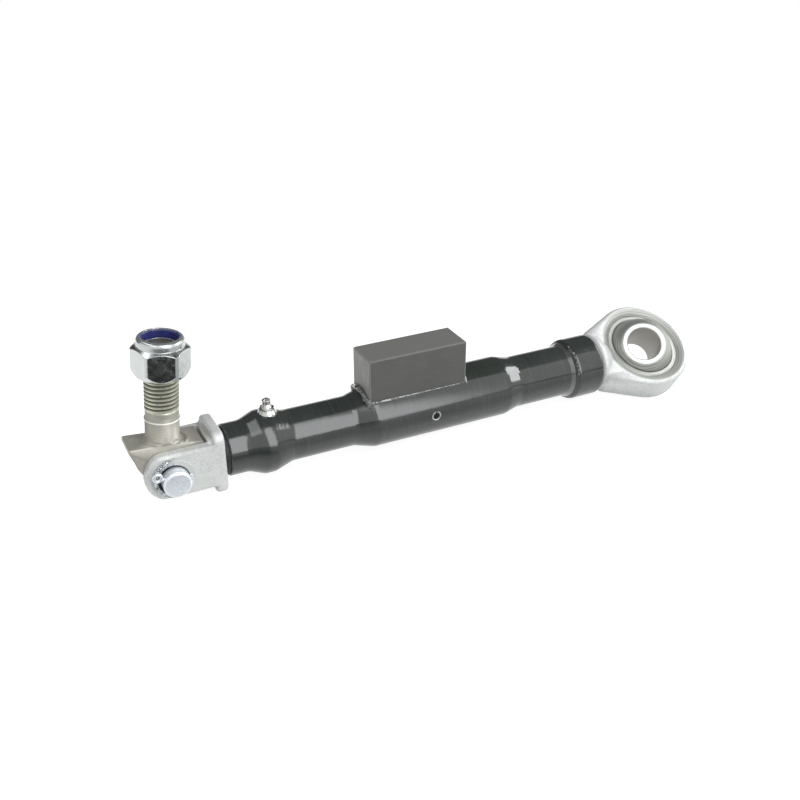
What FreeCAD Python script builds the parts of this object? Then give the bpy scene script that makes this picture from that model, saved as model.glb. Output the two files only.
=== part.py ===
import FreeCAD, Part
import os
import Sketcher

# A turnbuckle stabilizer. The ball's centre is the origin, the barrel lies along -X and +Z is up.
# Lengths are in millimetres and angles in degrees.

SIZES = [
    # barrel tube, lengths measured from its fork end
    ("tube_length", "319", "overall length of the barrel tube"),
    ("tube_radius", "24.15", "outside radius where the tube isn't swaged"),
    ("tube_wall", "6.5", "wall where the tube isn't swaged"),
    ("fork_neck_radius", "19.5", "outside radius swaged at the fork end"),
    ("eye_neck_radius", "20.85", "outside radius swaged at the eye end"),
    ("bulge_start", "15", "foot of the grease bulge on the fork side"),
    ("bulge_rise", "11.5", "length of the cone up to the bulge"),
    ("bulge_crest", "7.5", "straight length on top of the bulge"),
    ("bulge_fall", "14.5", "length of the cone down from the bulge"),
    ("shoulder_start", "98.5", "foot of the cone up to the full tube"),
    ("shoulder_rise", "16.5", "length of the cone up to the full tube"),
    ("shoulder_fall", "12.7", "length of the cone down to the eye end's neck"),
    ("eye_neck_length", "76.3", "length of the eye end's neck"),
    ("swage_round", "12", "radius that blends each swaged cone"),
    ("crest_share", "0.45", "greatest share of the bulge's crest that one blend takes"),
    ("mouth_round", "1.2", "rounding of the tube's mouths"),
    ("cavity_setback", "3", "how far the inner cones lag behind the outer ones"),
    # threads
    ("thread_radius", "13.5", "outside radius of both screwed stems"),
    ("running_gap", "0.08", "radial clearance of screwed stems, pins and the ball"),
    ("stem_end_gap", "2", "gap from each stem's end to the stop pin"),
    ("stem_chamfer", "2", "chamfer on the stems' ends"),
    # stop pin
    ("stop_station", "162.8", "stop pin's distance from the tube's fork end"),
    ("stop_radius", "4", "outside radius of the hollow stop pin"),
    ("stop_wall", "1.1", "wall of the hollow stop pin"),
    ("stop_slot", "1.4", "width of the slot along the stop pin"),
    ("stop_short", "0.4", "how far the stop pin's ends stay inside the tube"),
    # collar
    ("collar_radius", "25.2", "outside radius of the welded end collar"),
    ("collar_length", "27", "length of the end collar"),
    ("collar_overhang", "1", "collar's length beyond the tube's end"),
    ("collar_inner_round", "5", "rounding on the collar's weld side"),
    ("collar_outer_round", "2.6", "rounding on the collar's eye side"),
    ("collar_weld_leg", "3.2", "leg of the fillet weld behind the collar"),
    # weight block
    ("block_station", "151.5", "block centre's distance from the tube's fork end"),
    ("block_length", "82", "length of the block"),
    ("block_width", "30.2", "width of the block"),
    ("block_top", "53.5", "height of the block's top over the barrel's axis"),
    ("block_edge", "0.8", "chamfer round the block's edges"),
    ("block_weld_radius", "2.2", "size of the weld bead along the block's foot"),
    ("block_end_weld_radius", "4", "size of the heavier bead at the block's fork end"),
    # grease nipple
    ("nipple_station", "34.5", "nipple's distance from the tube's fork end"),
    ("nipple_flats", "10", "hexagon across flats"),
    ("nipple_hex_height", "3.8", "height of the hexagon"),
    ("nipple_neck_radius", "2", "radius of the nipple's neck"),
    ("nipple_neck_height", "3.2", "height of the nipple's neck"),
    ("nipple_head_radius", "3.2", "radius of the nipple's round head"),
    ("nipple_head_height", "4.4", "height of the nipple's round head"),
    ("nipple_thread_radius", "4", "radius of the nipple's thread in the tube"),
    ("nipple_seat", "0.6", "how far the hexagon sits below the bulge's crest"),
    ("nipple_bore", "0.9", "radius of the grease hole"),
    ("nipple_ball_radius", "1.3", "radius of the check ball"),
    ("nipple_ball_gap", "0.05", "clearance round the check ball"),
    ("nipple_lip", "0.7", "thickness of metal turned over the check ball"),
    # dust rings
    ("seal_radius", "17", "outside radius of the dust rings' spigots"),
    ("seal_depth", "4", "depth of the counterbore that takes a dust ring"),
    ("seal_lip_radius", "18.2", "outside radius of the dust rings' lips"),
    ("seal_gap", "0.1", "clearance round a dust ring"),
    # fork
    ("fork_gap", "3.6", "gap between the tube's end and the fork's plate"),
    ("plate_thickness", "8.3", "thickness of the fork's base plate"),
    ("plate_height", "50", "height of the fork's base plate"),
    ("plate_corner", "8", "rounding of the base plate's corners"),
    ("plate_edge", "2.4", "rounding of the base plate's edges"),
    ("fork_width", "39.8", "width across both ears"),
    ("fork_slot", "25.4", "gap between the ears"),
    ("ear_height", "35", "height of the ears"),
    ("ear_radius", "19.6", "radius of the ears' ends round the pin"),
    ("ear_edge", "3", "rounding of the ears' outer edges"),
    ("fork_reach", "30.4", "distance from the pin's axis to the base plate"),
    ("fork_web", "2.4", "thickness of the web between the slot and the base plate"),
    ("fork_root_round", "0.8", "rounding where the slot meets its web"),
    ("ear_fairing", "3", "radius of the hollow between the ears and the base plate"),
    # clevis pin
    ("pin_radius", "10", "radius of the clevis pin"),
    ("pin_head_radius", "15", "radius of the clevis pin's head"),
    ("pin_head_height", "5.5", "height of the clevis pin's head"),
    ("pin_end", "32", "distance from the fork's middle to the pin's end"),
    ("pin_chamfer", "1.4", "chamfer on the pin's end"),
    ("washer_radius", "15", "outside radius of the washer"),
    ("washer_thickness", "3", "thickness of the washer"),
    ("face_gap", "0.15", "gap between faces that turn on each other"),
    ("split_radius", "1.5", "radius of the split pin's doubled wire"),
    ("split_hole_gap", "0.2", "clearance of the split pin in its hole"),
    ("split_station", "27", "distance from the fork's middle to the split pin"),
    ("split_eye_radius", "2.7", "radius of the split pin's eye, to the wire's middle"),
    ("split_eye_wire", "1.15", "radius of the wire in the split pin's eye"),
    ("split_roll", "28", "roll of the split pin about the clevis pin"),
    ("split_bend", "48", "angle that each bent leg covers round the pin"),
    ("split_leg_wire", "0.95", "radius of each bent leg"),
    # swivel stud
    ("stud_lean", "5.2", "lean of the stud against its stop"),
    ("stud_radius", "12", "radius of the stud"),
    ("stud_offset", "2.4", "distance of the stud's axis from the pin's axis"),
    ("stud_end", "92.6", "height of the stud's end over the pin"),
    ("stud_step", "37.9", "height of the step on the stud's shank"),
    ("stud_step_depth", "0.35", "depth of the step on the stud's shank"),
    ("stud_chamfer", "2", "chamfer on the stud's end"),
    ("head_top", "21.3", "height of the head's flat top over the pin"),
    ("head_width", "24.4", "width of the head"),
    ("head_tip", "28.6", "distance from the pin to the head's tip"),
    ("head_tip_depth", "3", "depth of the head's blunt tip"),
    ("head_tail", "23.2", "distance from the pin to the head's tail"),
    ("head_tail_depth", "9.5", "depth of the tail's end face"),
    ("head_heel", "26.8", "distance from the pin to the heel that meets the stop"),
    ("head_boss_radius", "17", "radius of the boss round the pin"),
    ("head_round", "1.6", "rounding of the forged head's edges"),
    # lock nut
    ("nut_flats", "36", "hexagon across flats"),
    ("nut_clock", "-12.5", "turn of the nut on its stud"),
    ("nut_height", "27.3", "height of the nut with its collar"),
    ("nut_hex_height", "21.4", "height of the nut's hexagon"),
    ("nut_seat", "71.8", "height of the nut's lower face over the pin"),
    ("nut_corner_radius", "20.1", "radius to which the nut's corners are rounded"),
    ("nut_foot_radius", "17.7", "radius of the nut's lower face"),
    ("nut_foot_chamfer", "4.2", "height of the lower chamfer at the corners"),
    ("nut_face_radius", "16.4", "radius of the nut's upper face"),
    ("nut_face_chamfer", "2.9", "height of the upper chamfer at the corners"),
    ("nut_collar_radius", "16.4", "radius of the nut's round collar"),
    ("nut_collar_wall", "1.5", "wall of the nut's collar"),
    ("nut_collar_round", "3", "rounding of the crimped collar"),
    ("nut_mouth_radius", "13", "radius of the crimped collar's mouth"),
    ("nut_lip", "1.3", "thickness of the lip crimped over the ring"),
    ("insert_height", "5.4", "height of the nylon ring"),
    ("insert_gap", "0.06", "clearance round the nylon ring"),
    # eye
    ("eye_gap", "1.6", "gap between the collar and the eye's shoulder"),
    ("eye_reach", "53.2", "distance from the ball's centre to the collar's face"),
    ("eye_roll", "30.8", "roll of the eye about the barrel"),
    ("eye_radius", "41", "outside radius of the eye"),
    ("eye_thickness", "24", "thickness of the eye"),
    ("eye_edge", "2.2", "chamfer round the eye"),
    ("eye_shoulder_radius", "23.8", "radius of the eye's round shoulder"),
    ("eye_shoulder_length", "3.4", "length of the eye's round shoulder"),
    ("eye_fairing", "12.5", "length of the cone behind the shoulder"),
    ("eye_fairing_radius", "14", "radius of the cone's small end"),
    ("recess_radius", "37.2", "radius of the recess round the race"),
    ("recess_depth", "3.4", "depth of the recess round the race"),
    # race and ball
    ("race_radius", "31.6", "outside radius of the race"),
    ("race_thickness", "18.4", "thickness of the race"),
    ("race_lip", "1.4", "height of the ridge that holds the race"),
    ("race_lip_width", "6", "width of the ridge that holds the race"),
    ("race_edge", "1", "chamfer round the race"),
    ("ball_radius", "28.5", "radius of the ball's sphere"),
    ("ball_width", "44.4", "width of the ball across its flats"),
    ("ball_bore", "14", "radius of the ball's bore"),
    ("ball_bore_chamfer", "0.9", "chamfer of the ball's bore"),
    ("ball_turn", "215.6", "direction in which the ball leans"),
    ("ball_lean", "21.3", "lean of the ball's axis from the eye's axis"),
]

SHEET = "Sizes"
ORIGIN_POINT = -1
CURVE_START = 1
CURVE_END = 2
ALIASES = {alias for alias, value, meaning in SIZES}

document = FreeCAD.newDocument("stabilizer")
sheet = document.addObject("Spreadsheet::Sheet", SHEET)
for row, (alias, value, meaning) in enumerate(SIZES, start=1):
    sheet.set("A%d" % row, value)
    sheet.setAlias("A%d" % row, alias)
    sheet.set("B%d" % row, meaning)
document.recompute()


def bound(text):
    """An expression on the sheet, written with the plain names of the sizes."""
    words = []
    word = ""
    for letter in text + " ":
        if letter.isalnum() or letter in "_.":
            word += letter
            continue
        words.append(SHEET + "." + word if word in ALIASES else word)
        words.append(letter)
        word = ""
    return "".join(words).strip()


def number(text):
    """The present value of an expression."""
    return float(sheet.evalExpression(bound(text)))


def new_body(label):
    """A body whose label is the node's name."""
    body = document.addObject("PartDesign::Body", label + "_body")
    body.Label = label
    return body


def plane(body, role):
    """One of the body's own origin planes."""
    return next(item for item in body.Origin.OriginFeatures if item.Role == role)


def new_sketch(body, role, name, lift="0"):
    """An empty sketch on an origin plane of the body, lifted along the plane's normal."""
    sketch = body.newObject("Sketcher::SketchObject", name)
    sketch.AttachmentSupport = (plane(body, role), [""])
    sketch.MapMode = "FlatFace"
    if lift != "0":
        sketch.setExpression("AttachmentOffset.Base.z", bound(lift))
    return sketch


def fix(sketch, kind, item, point, text):
    """Binds one coordinate of a point to an expression."""
    index = sketch.addConstraint(Sketcher.Constraint(kind, ORIGIN_POINT, 1, item, point, number(text)))
    sketch.setExpression("Constraints[%d]" % index, bound(text))


def arc_between(start, end, radius, bend):
    """The short arc between two points, bending left for a positive bend and right for a negative one."""
    chord = end - start
    middle = (start + end) * 0.5
    side = FreeCAD.Vector(-chord.y, chord.x, 0).normalize() * bend
    centre = middle + side * (radius**2 - (chord.Length / 2) ** 2) ** 0.5
    first, last = (start, end) if bend > 0 else (end, start)
    circle = Part.Circle(centre, FreeCAD.Vector(0, 0, 1), radius)
    return Part.ArcOfCircle(circle, circle.parameter(first), circle.parameter(last))


def outline(body, role, name, corners, lift="0"):
    """A closed outline whose corners are pairs of expressions.

    A third entry is the radius of the arc to the next corner, and a fourth its bend, 1 or -1.
    """
    sketch = new_sketch(body, role, name, lift)
    places = [FreeCAD.Vector(number(corner[0]), number(corner[1]), 0) for corner in corners]
    ends = []
    for index, corner in enumerate(corners):
        start = places[index]
        end = places[(index + 1) % len(corners)]
        if len(corner) == 2:
            sketch.addGeometry(Part.LineSegment(start, end), False)
            ends.append((CURVE_START, CURVE_END))
        else:
            sketch.addGeometry(arc_between(start, end, number(corner[2]), corner[3]), False)
            ends.append((CURVE_START, CURVE_END) if corner[3] > 0 else (CURVE_END, CURVE_START))
    for index, corner in enumerate(corners):
        before = index - 1 if index else len(corners) - 1
        sketch.addConstraint(
            Sketcher.Constraint("Coincident", before, ends[before][1], index, ends[index][0])
        )
        fix(sketch, "DistanceX", index, ends[index][0], corner[0])
        fix(sketch, "DistanceY", index, ends[index][0], corner[1])
        if len(corner) > 2:
            radius = sketch.addConstraint(Sketcher.Constraint("Radius", index, number(corner[2])))
            sketch.setExpression("Constraints[%d]" % radius, bound(corner[2]))
    document.recompute()
    return sketch


def ring(body, role, name, across, up, *radii, lift="0"):
    """Circles round one centre."""
    sketch = new_sketch(body, role, name, lift)
    centre = FreeCAD.Vector(number(across), number(up), 0)
    for text in radii:
        circle = Part.Circle(centre, FreeCAD.Vector(0, 0, 1), number(text))
        item = sketch.addGeometry(circle, False)
        fix(sketch, "DistanceX", item, 3, across)
        fix(sketch, "DistanceY", item, 3, up)
        index = sketch.addConstraint(Sketcher.Constraint("Radius", item, circle.Radius))
        sketch.setExpression("Constraints[%d]" % index, bound(text))
    document.recompute()
    return sketch


def hexagon(body, role, name, flats, clock="0"):
    """A hexagon round the origin, turned by an angle from having two corners on the first axis."""
    corners = []
    for angle in range(0, 360, 60):
        turned = "(%s + %d)" % (clock, angle)
        corners.append((flats + " / sqrt(3) * cos" + turned, flats + " / sqrt(3) * sin" + turned))
    return outline(body, role, name, corners)


def pad(body, name, sketch, length, symmetric=False):
    """A padded sketch."""
    feature = body.newObject("PartDesign::Pad", name)
    feature.Profile = sketch
    feature.SideType = "Symmetric" if symmetric else "One side"
    feature.setExpression("Length", bound(length))
    document.recompute()
    return feature


def pocket(body, name, sketch, length, symmetric=True, reverse=False):
    """A pocket that has to take material away."""
    before = body.Shape.Volume
    feature = body.newObject("PartDesign::Pocket", name)
    feature.Profile = sketch
    feature.SideType = "Symmetric" if symmetric else "One side"
    feature.Reversed = reverse
    feature.setExpression("Length", bound(length))
    document.recompute()
    if not body.Shape.Volume < before:
        raise ValueError(name + " cuts nothing")
    return feature


def turn(body, name, sketch, axis="H_Axis"):
    """A sketch turned right round one of its own axes."""
    feature = body.newObject("PartDesign::Revolution", name)
    feature.Profile = sketch
    feature.ReferenceAxis = (sketch, [axis])
    feature.Angle = 360
    document.recompute()
    return feature


def groove(body, name, sketch, axis="H_Axis"):
    """A turned cut that has to take material away."""
    before = body.Shape.Volume
    feature = body.newObject("PartDesign::Groove", name)
    feature.Profile = sketch
    feature.ReferenceAxis = (sketch, [axis])
    feature.Angle = 360
    document.recompute()
    if not body.Shape.Volume < before:
        raise ValueError(name + " cuts nothing")
    return feature


def dress(body, kind, name, chosen, size):
    """A fillet or chamfer on the edges that a test picks."""
    base = body.Tip
    names = ["Edge%d" % (index + 1) for index, edge in enumerate(base.Shape.Edges) if chosen(edge)]
    if not names:
        raise ValueError(name + " finds no edge")
    feature = body.newObject("PartDesign::" + kind, name)
    feature.Base = (base, names)
    feature.setExpression("Radius" if kind == "Fillet" else "Size", bound(size))
    document.recompute()
    if "Invalid" in feature.State:
        raise ValueError(name + " can't be made")
    return feature


def near(value, target, slack=0.01):
    return abs(value - target) < slack


def is_ring(edge, radius):
    """A full circle of a given radius."""
    return isinstance(edge.Curve, Part.Circle) and near(edge.Curve.Radius, radius) and edge.isClosed()


def ring_at(edge, axis, station, radius):
    """A full circle of a given radius whose centre has a given coordinate."""
    return is_ring(edge, radius) and near(getattr(edge.Curve.Center, axis), station)


def middle_of(edge):
    """The point half way along an edge."""
    return edge.valueAt((edge.FirstParameter + edge.LastParameter) / 2)


def place(item, along="0", up="0"):
    """Moves a piece to a bound place in the object's frame."""
    item.setExpression("Placement.Base.x", bound(along))
    item.setExpression("Placement.Base.z", bound(up))
    document.recompute()


# Places along X, all worked out from the ball's centre.
TUBE_END = "-(eye_reach + collar_overhang)"
TUBE_START = "-(eye_reach + collar_overhang + tube_length)"
PIN_PLACE = "-(eye_reach + collar_overhang + tube_length + fork_gap + plate_thickness + fork_reach)"

# Stations along the tube.
BULGE_TOP = "bulge_start + bulge_rise"
BULGE_END = "bulge_start + bulge_rise + bulge_crest"
BULGE_FOOT = "bulge_start + bulge_rise + bulge_crest + bulge_fall"
FULL_START = "shoulder_start + shoulder_rise"
FULL_END = "tube_length - eye_neck_length - shoulder_fall"
NECK_START = "tube_length - eye_neck_length"
THREAD_BORE = "thread_radius + running_gap"
CAVITY = "tube_radius - tube_wall"


def barrel_tube():
    """The swaged tube with its threads' bores, grease chamber and cross holes."""
    body = new_body("barrel_tube")
    wall = [
        ("0", "fork_neck_radius"),
        ("bulge_start", "fork_neck_radius"),
        (BULGE_TOP, "tube_radius"),
        (BULGE_END, "tube_radius"),
        (BULGE_FOOT, "fork_neck_radius"),
        ("shoulder_start", "fork_neck_radius"),
        (FULL_START, "tube_radius"),
        (FULL_END, "tube_radius"),
        (NECK_START, "eye_neck_radius"),
        ("tube_length", "eye_neck_radius"),
        ("tube_length", "seal_radius"),
        ("tube_length - seal_depth", "seal_radius"),
        ("tube_length - seal_depth", THREAD_BORE),
        (NECK_START + " + cavity_setback", THREAD_BORE),
        (FULL_END, CAVITY),
        (FULL_START, CAVITY),
        ("shoulder_start - cavity_setback", THREAD_BORE),
        (BULGE_FOOT, THREAD_BORE),
        (BULGE_END, CAVITY),
        (BULGE_TOP, CAVITY),
        ("bulge_start", THREAD_BORE),
        ("seal_depth", THREAD_BORE),
        ("seal_depth", "seal_radius"),
        ("0", "seal_radius"),
    ]
    turn(body, "tube_wall_turned", outline(body, "XZ_Plane", "tube_wall_outline", wall))
    bends = [
        (number("bulge_start"), number("fork_neck_radius")),
        (number(BULGE_TOP), number("tube_radius")),
        (number(BULGE_END), number("tube_radius")),
        (number(BULGE_FOOT), number("fork_neck_radius")),
        (number("shoulder_start"), number("fork_neck_radius")),
        (number(FULL_START), number("tube_radius")),
        (number(FULL_END), number("tube_radius")),
        (number(NECK_START), number("eye_neck_radius")),
    ]
    bend = "atan((tube_radius - fork_neck_radius) / bulge_rise)"
    dress(
        body,
        "Fillet",
        "swage_blends",
        lambda edge: any(ring_at(edge, "x", station, radius) for station, radius in bends),
        "min(swage_round; crest_share * bulge_crest / tan(" + bend + " / 2))",
    )
    mouths = [(0, number("fork_neck_radius")), (number("tube_length"), number("eye_neck_radius"))]
    dress(
        body,
        "Fillet",
        "mouth_rounds",
        lambda edge: any(ring_at(edge, "x", station, radius) for station, radius in mouths),
        "mouth_round",
    )
    hole = ring(body, "XZ_Plane", "stop_hole_outline", "stop_station", "0", "stop_radius")
    pocket(body, "stop_hole", hole, "4 * tube_radius")
    hole = ring(body, "XY_Plane", "nipple_hole_outline", "nipple_station", "0", "nipple_thread_radius")
    pocket(body, "nipple_hole", hole, "2 * tube_radius", symmetric=False, reverse=True)
    spot = ring(
        body,
        "XY_Plane",
        "nipple_seat_outline",
        "nipple_station",
        "0",
        "nipple_flats / sqrt(3) + seal_gap",
        lift="tube_radius - nipple_seat",
    )
    pocket(body, "nipple_seat_face", spot, "tube_radius", symmetric=False, reverse=True)
    place(body, TUBE_START)


def end_collar():
    """The ring that reinforces the tube's eye end."""
    body = new_body("end_collar")
    wall = [
        ("0", "eye_neck_radius"),
        ("0", "collar_radius"),
        ("-collar_length", "collar_radius"),
        ("-collar_length", "eye_neck_radius"),
    ]
    turn(body, "collar_turned", outline(body, "XZ_Plane", "collar_outline", wall))
    radius = number("collar_radius")
    dress(
        body,
        "Fillet",
        "collar_face_round",
        lambda edge: ring_at(edge, "x", 0, radius),
        "collar_outer_round",
    )
    back = -number("collar_length")
    dress(
        body,
        "Fillet",
        "collar_back_round",
        lambda edge: ring_at(edge, "x", back, radius),
        "min(collar_inner_round; collar_radius - eye_neck_radius - seal_gap)",
    )
    place(body, "-eye_reach")


def collar_weld():
    """The hollow fillet weld in the corner behind the collar."""
    body = new_body("collar_weld")
    bead = [
        ("0", "eye_neck_radius"),
        ("0", "eye_neck_radius + collar_weld_leg / 2"),
        ("-collar_weld_leg / 2", "eye_neck_radius + collar_weld_leg / 4"),
        ("-collar_weld_leg", "eye_neck_radius"),
    ]
    turn(body, "weld_turned", outline(body, "XZ_Plane", "weld_outline", bead))
    place(body, "-(eye_reach + collar_length)")


def weight_block():
    """The rectangular bar whose foot is hollowed to sit on the tube."""
    body = new_body("weight_block")
    side = "sqrt(tube_radius ^ 2 - block_width ^ 2 / 4)"
    face = [
        ("-block_width / 2", "block_top"),
        ("-block_width / 2", side, "tube_radius", -1),
        ("block_width / 2", side),
        ("block_width / 2", "block_top"),
    ]
    pad(body, "bar", outline(body, "YZ_Plane", "bar_outline", face), "block_length", symmetric=True)
    top = number("block_top")
    half = number("block_length") / 2
    seat = number(side)

    def sawn(edge):
        place_on_edge = middle_of(edge)
        upper = near(place_on_edge.z, top)
        end = near(abs(place_on_edge.x), half) and seat < place_on_edge.z < top
        return upper or (end and not isinstance(edge.Curve, Part.Circle))

    dress(body, "Chamfer", "sawn_edges", sawn, "block_edge")
    place(body, TUBE_START + " + block_station")


def part_feature(kind, name, sizes):
    """A primitive whose sizes are bound to the sheet."""
    item = document.addObject(kind, name)
    for size, text in sizes.items():
        item.setExpression(size, bound(text))
    return item


def cylinder(name, radius, height, direction, along="0", aside="0", up="0"):
    """A cylinder that starts at a bound place and runs in a direction."""
    item = part_feature("Part::Cylinder", name, {"Radius": radius, "Height": height})
    item.Placement = FreeCAD.Placement(
        FreeCAD.Vector(), FreeCAD.Rotation(FreeCAD.Vector(0, 0, 1), FreeCAD.Vector(*direction))
    )
    item.setExpression("Placement.Base.x", bound(along))
    item.setExpression("Placement.Base.y", bound(aside))
    item.setExpression("Placement.Base.z", bound(up))
    return item


def joined(name, pieces):
    """Several shapes fused into one."""
    item = document.addObject("Part::MultiFuse", name)
    item.Shapes = pieces
    item.Refine = True
    document.recompute()
    return item


def without(name, base, tool):
    """One shape less another."""
    item = document.addObject("Part::Cut", name)
    item.Base = base
    item.Tool = tool
    item.Refine = True
    document.recompute()
    return item


WELD_ENDS = [
    ("fork", "-block_length / 2", "block_end_weld_radius"),
    ("eye", "block_length / 2", "block_weld_radius"),
]


def block_weld():
    """The weld run round the block's foot: two side beads and two end beads on the tube."""
    foot = "sqrt(tube_radius ^ 2 - block_width ^ 2 / 4)"
    beads = []
    for side, sign in (("near", "-"), ("far", "")):
        aside = sign + "(block_width / 2)"
        bead = cylinder(
            "weld_" + side, "block_weld_radius", "block_length", (1, 0, 0), "-block_length / 2", aside, foot
        )
        beads.append(bead)
        for end, reach, size in WELD_ENDS:
            knob = part_feature("Part::Sphere", "weld_" + side + "_" + end, {"Radius": size})
            knob.setExpression("Placement.Base.x", bound(reach))
            knob.setExpression("Placement.Base.y", bound(aside))
            knob.setExpression("Placement.Base.z", bound(foot))
            beads.append(knob)
    for end, reach, size in WELD_ENDS:
        bead = new_body("weld_" + end + "_bead")
        sketch = ring(bead, "XZ_Plane", "weld_" + end + "_outline", reach, "tube_radius", size)
        turned = turn(bead, "weld_" + end + "_turned", sketch)
        turned.Midplane = True
        turned.setExpression("Angle", bound("2 * asin(block_width / (2 * tube_radius))"))
        beads.append(bead)
    document.recompute()
    run = joined("weld_run", beads)
    core = cylinder("weld_core", "tube_radius", "2 * block_length", (1, 0, 0), "-block_length")
    box = part_feature(
        "Part::Box",
        "weld_bar",
        {"Length": "block_length", "Width": "block_width", "Height": "block_top"},
    )
    box.setExpression("Placement.Base.x", bound("-block_length / 2"))
    box.setExpression("Placement.Base.y", bound("-block_width / 2"))
    weld = without("weld_seated", run, joined("weld_carrier", [core, box]))
    weld.Label = "block_weld"
    place(weld, TUBE_START + " + block_station")
    return weld


def grease_nipple():
    """The nipple: thread, hexagon, neck and round head with a drilled, turned-over mouth."""
    body = new_body("grease_nipple")
    neck = "nipple_hex_height + nipple_neck_height"
    top = "nipple_hex_height + nipple_neck_height + nipple_head_height"
    seat = top + " - nipple_lip - nipple_ball_radius - nipple_ball_gap"
    pocket_radius = "nipple_ball_radius + nipple_ball_gap"
    pad(body, "hexagon_pad", hexagon(body, "XY_Plane", "hexagon_outline", "nipple_flats"), "nipple_hex_height")
    turned = [
        ("nipple_bore", "-tube_wall / 2"),
        ("nipple_thread_radius", "-tube_wall / 2"),
        ("nipple_thread_radius", "0"),
        ("nipple_thread_radius", "nipple_hex_height"),
        ("nipple_neck_radius", neck),
        ("nipple_head_radius", neck),
        ("nipple_head_radius", top + " - nipple_head_radius / 2"),
        ("nipple_bore + nipple_ball_gap", top),
        ("nipple_bore", top),
    ]
    turn(body, "nipple_turned", outline(body, "XZ_Plane", "nipple_outline", turned), "V_Axis")
    hole = [
        ("0", "-tube_wall"),
        ("nipple_bore", "-tube_wall"),
        ("nipple_bore", seat + " + nipple_bore - sqrt(2) * (" + pocket_radius + ")"),
        (pocket_radius, seat + " - (sqrt(2) - 1) * (" + pocket_radius + ")"),
        (pocket_radius, top + " - nipple_lip"),
        ("nipple_bore", top + " - nipple_lip"),
        ("nipple_bore", top + " + nipple_lip"),
        ("0", top + " + nipple_lip"),
    ]
    groove(body, "grease_hole", outline(body, "XZ_Plane", "grease_hole_outline", hole), "V_Axis")
    place(body, TUBE_START + " + nipple_station", "tube_radius - nipple_seat")
    ball = part_feature("Part::Sphere", "nipple_ball", {"Radius": "nipple_ball_radius"})
    ball.Label = "nipple_ball"
    place(ball, TUBE_START + " + nipple_station", "tube_radius - nipple_seat + " + seat)
    return [body, ball]


def stop_pin():
    """The hollow slotted spring pin across the tube."""
    length = "2 * (tube_radius - stop_short)"
    outer = cylinder("stop_outside", "stop_radius", length, (0, 1, 0), "0", "-(tube_radius - stop_short)")
    inner = cylinder(
        "stop_inside", "stop_radius - stop_wall", "4 * tube_radius", (0, 1, 0), "0", "-2 * tube_radius"
    )
    slot = part_feature(
        "Part::Box",
        "stop_opening",
        {"Length": "stop_slot", "Width": "4 * tube_radius", "Height": "stop_radius * 2"},
    )
    slot.setExpression("Placement.Base.x", bound("-stop_slot / 2"))
    slot.setExpression("Placement.Base.y", bound("-2 * tube_radius"))
    pin = without("stop_rolled", outer, joined("stop_hollow", [inner, slot]))
    pin.Label = "stop_pin"
    place(pin, TUBE_START + " + stop_station")
    return pin


def dust_ring(label, lip, inward, where):
    """A dust ring: a spigot in the tube's counterbore and a lip outside the mouth.

    The factor inward is 1 where the spigot points along X and -1 where it points back.
    """
    body = new_body(label)
    hole = "thread_radius + seal_gap"
    spigot = inward + " * (seal_depth - seal_gap)"
    inner_face = "-" + inward + " * seal_gap"
    outer_face = "-" + inward + " * (" + lip + ")"
    wall = [
        (spigot, hole),
        (spigot, "seal_radius - seal_gap"),
        (inner_face, "seal_radius - seal_gap"),
        (inner_face, "seal_lip_radius"),
        (outer_face, "seal_lip_radius"),
        (outer_face, hole),
    ]
    turn(body, label + "_turned", outline(body, "XZ_Plane", label + "_outline", wall))
    place(body, where)


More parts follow.
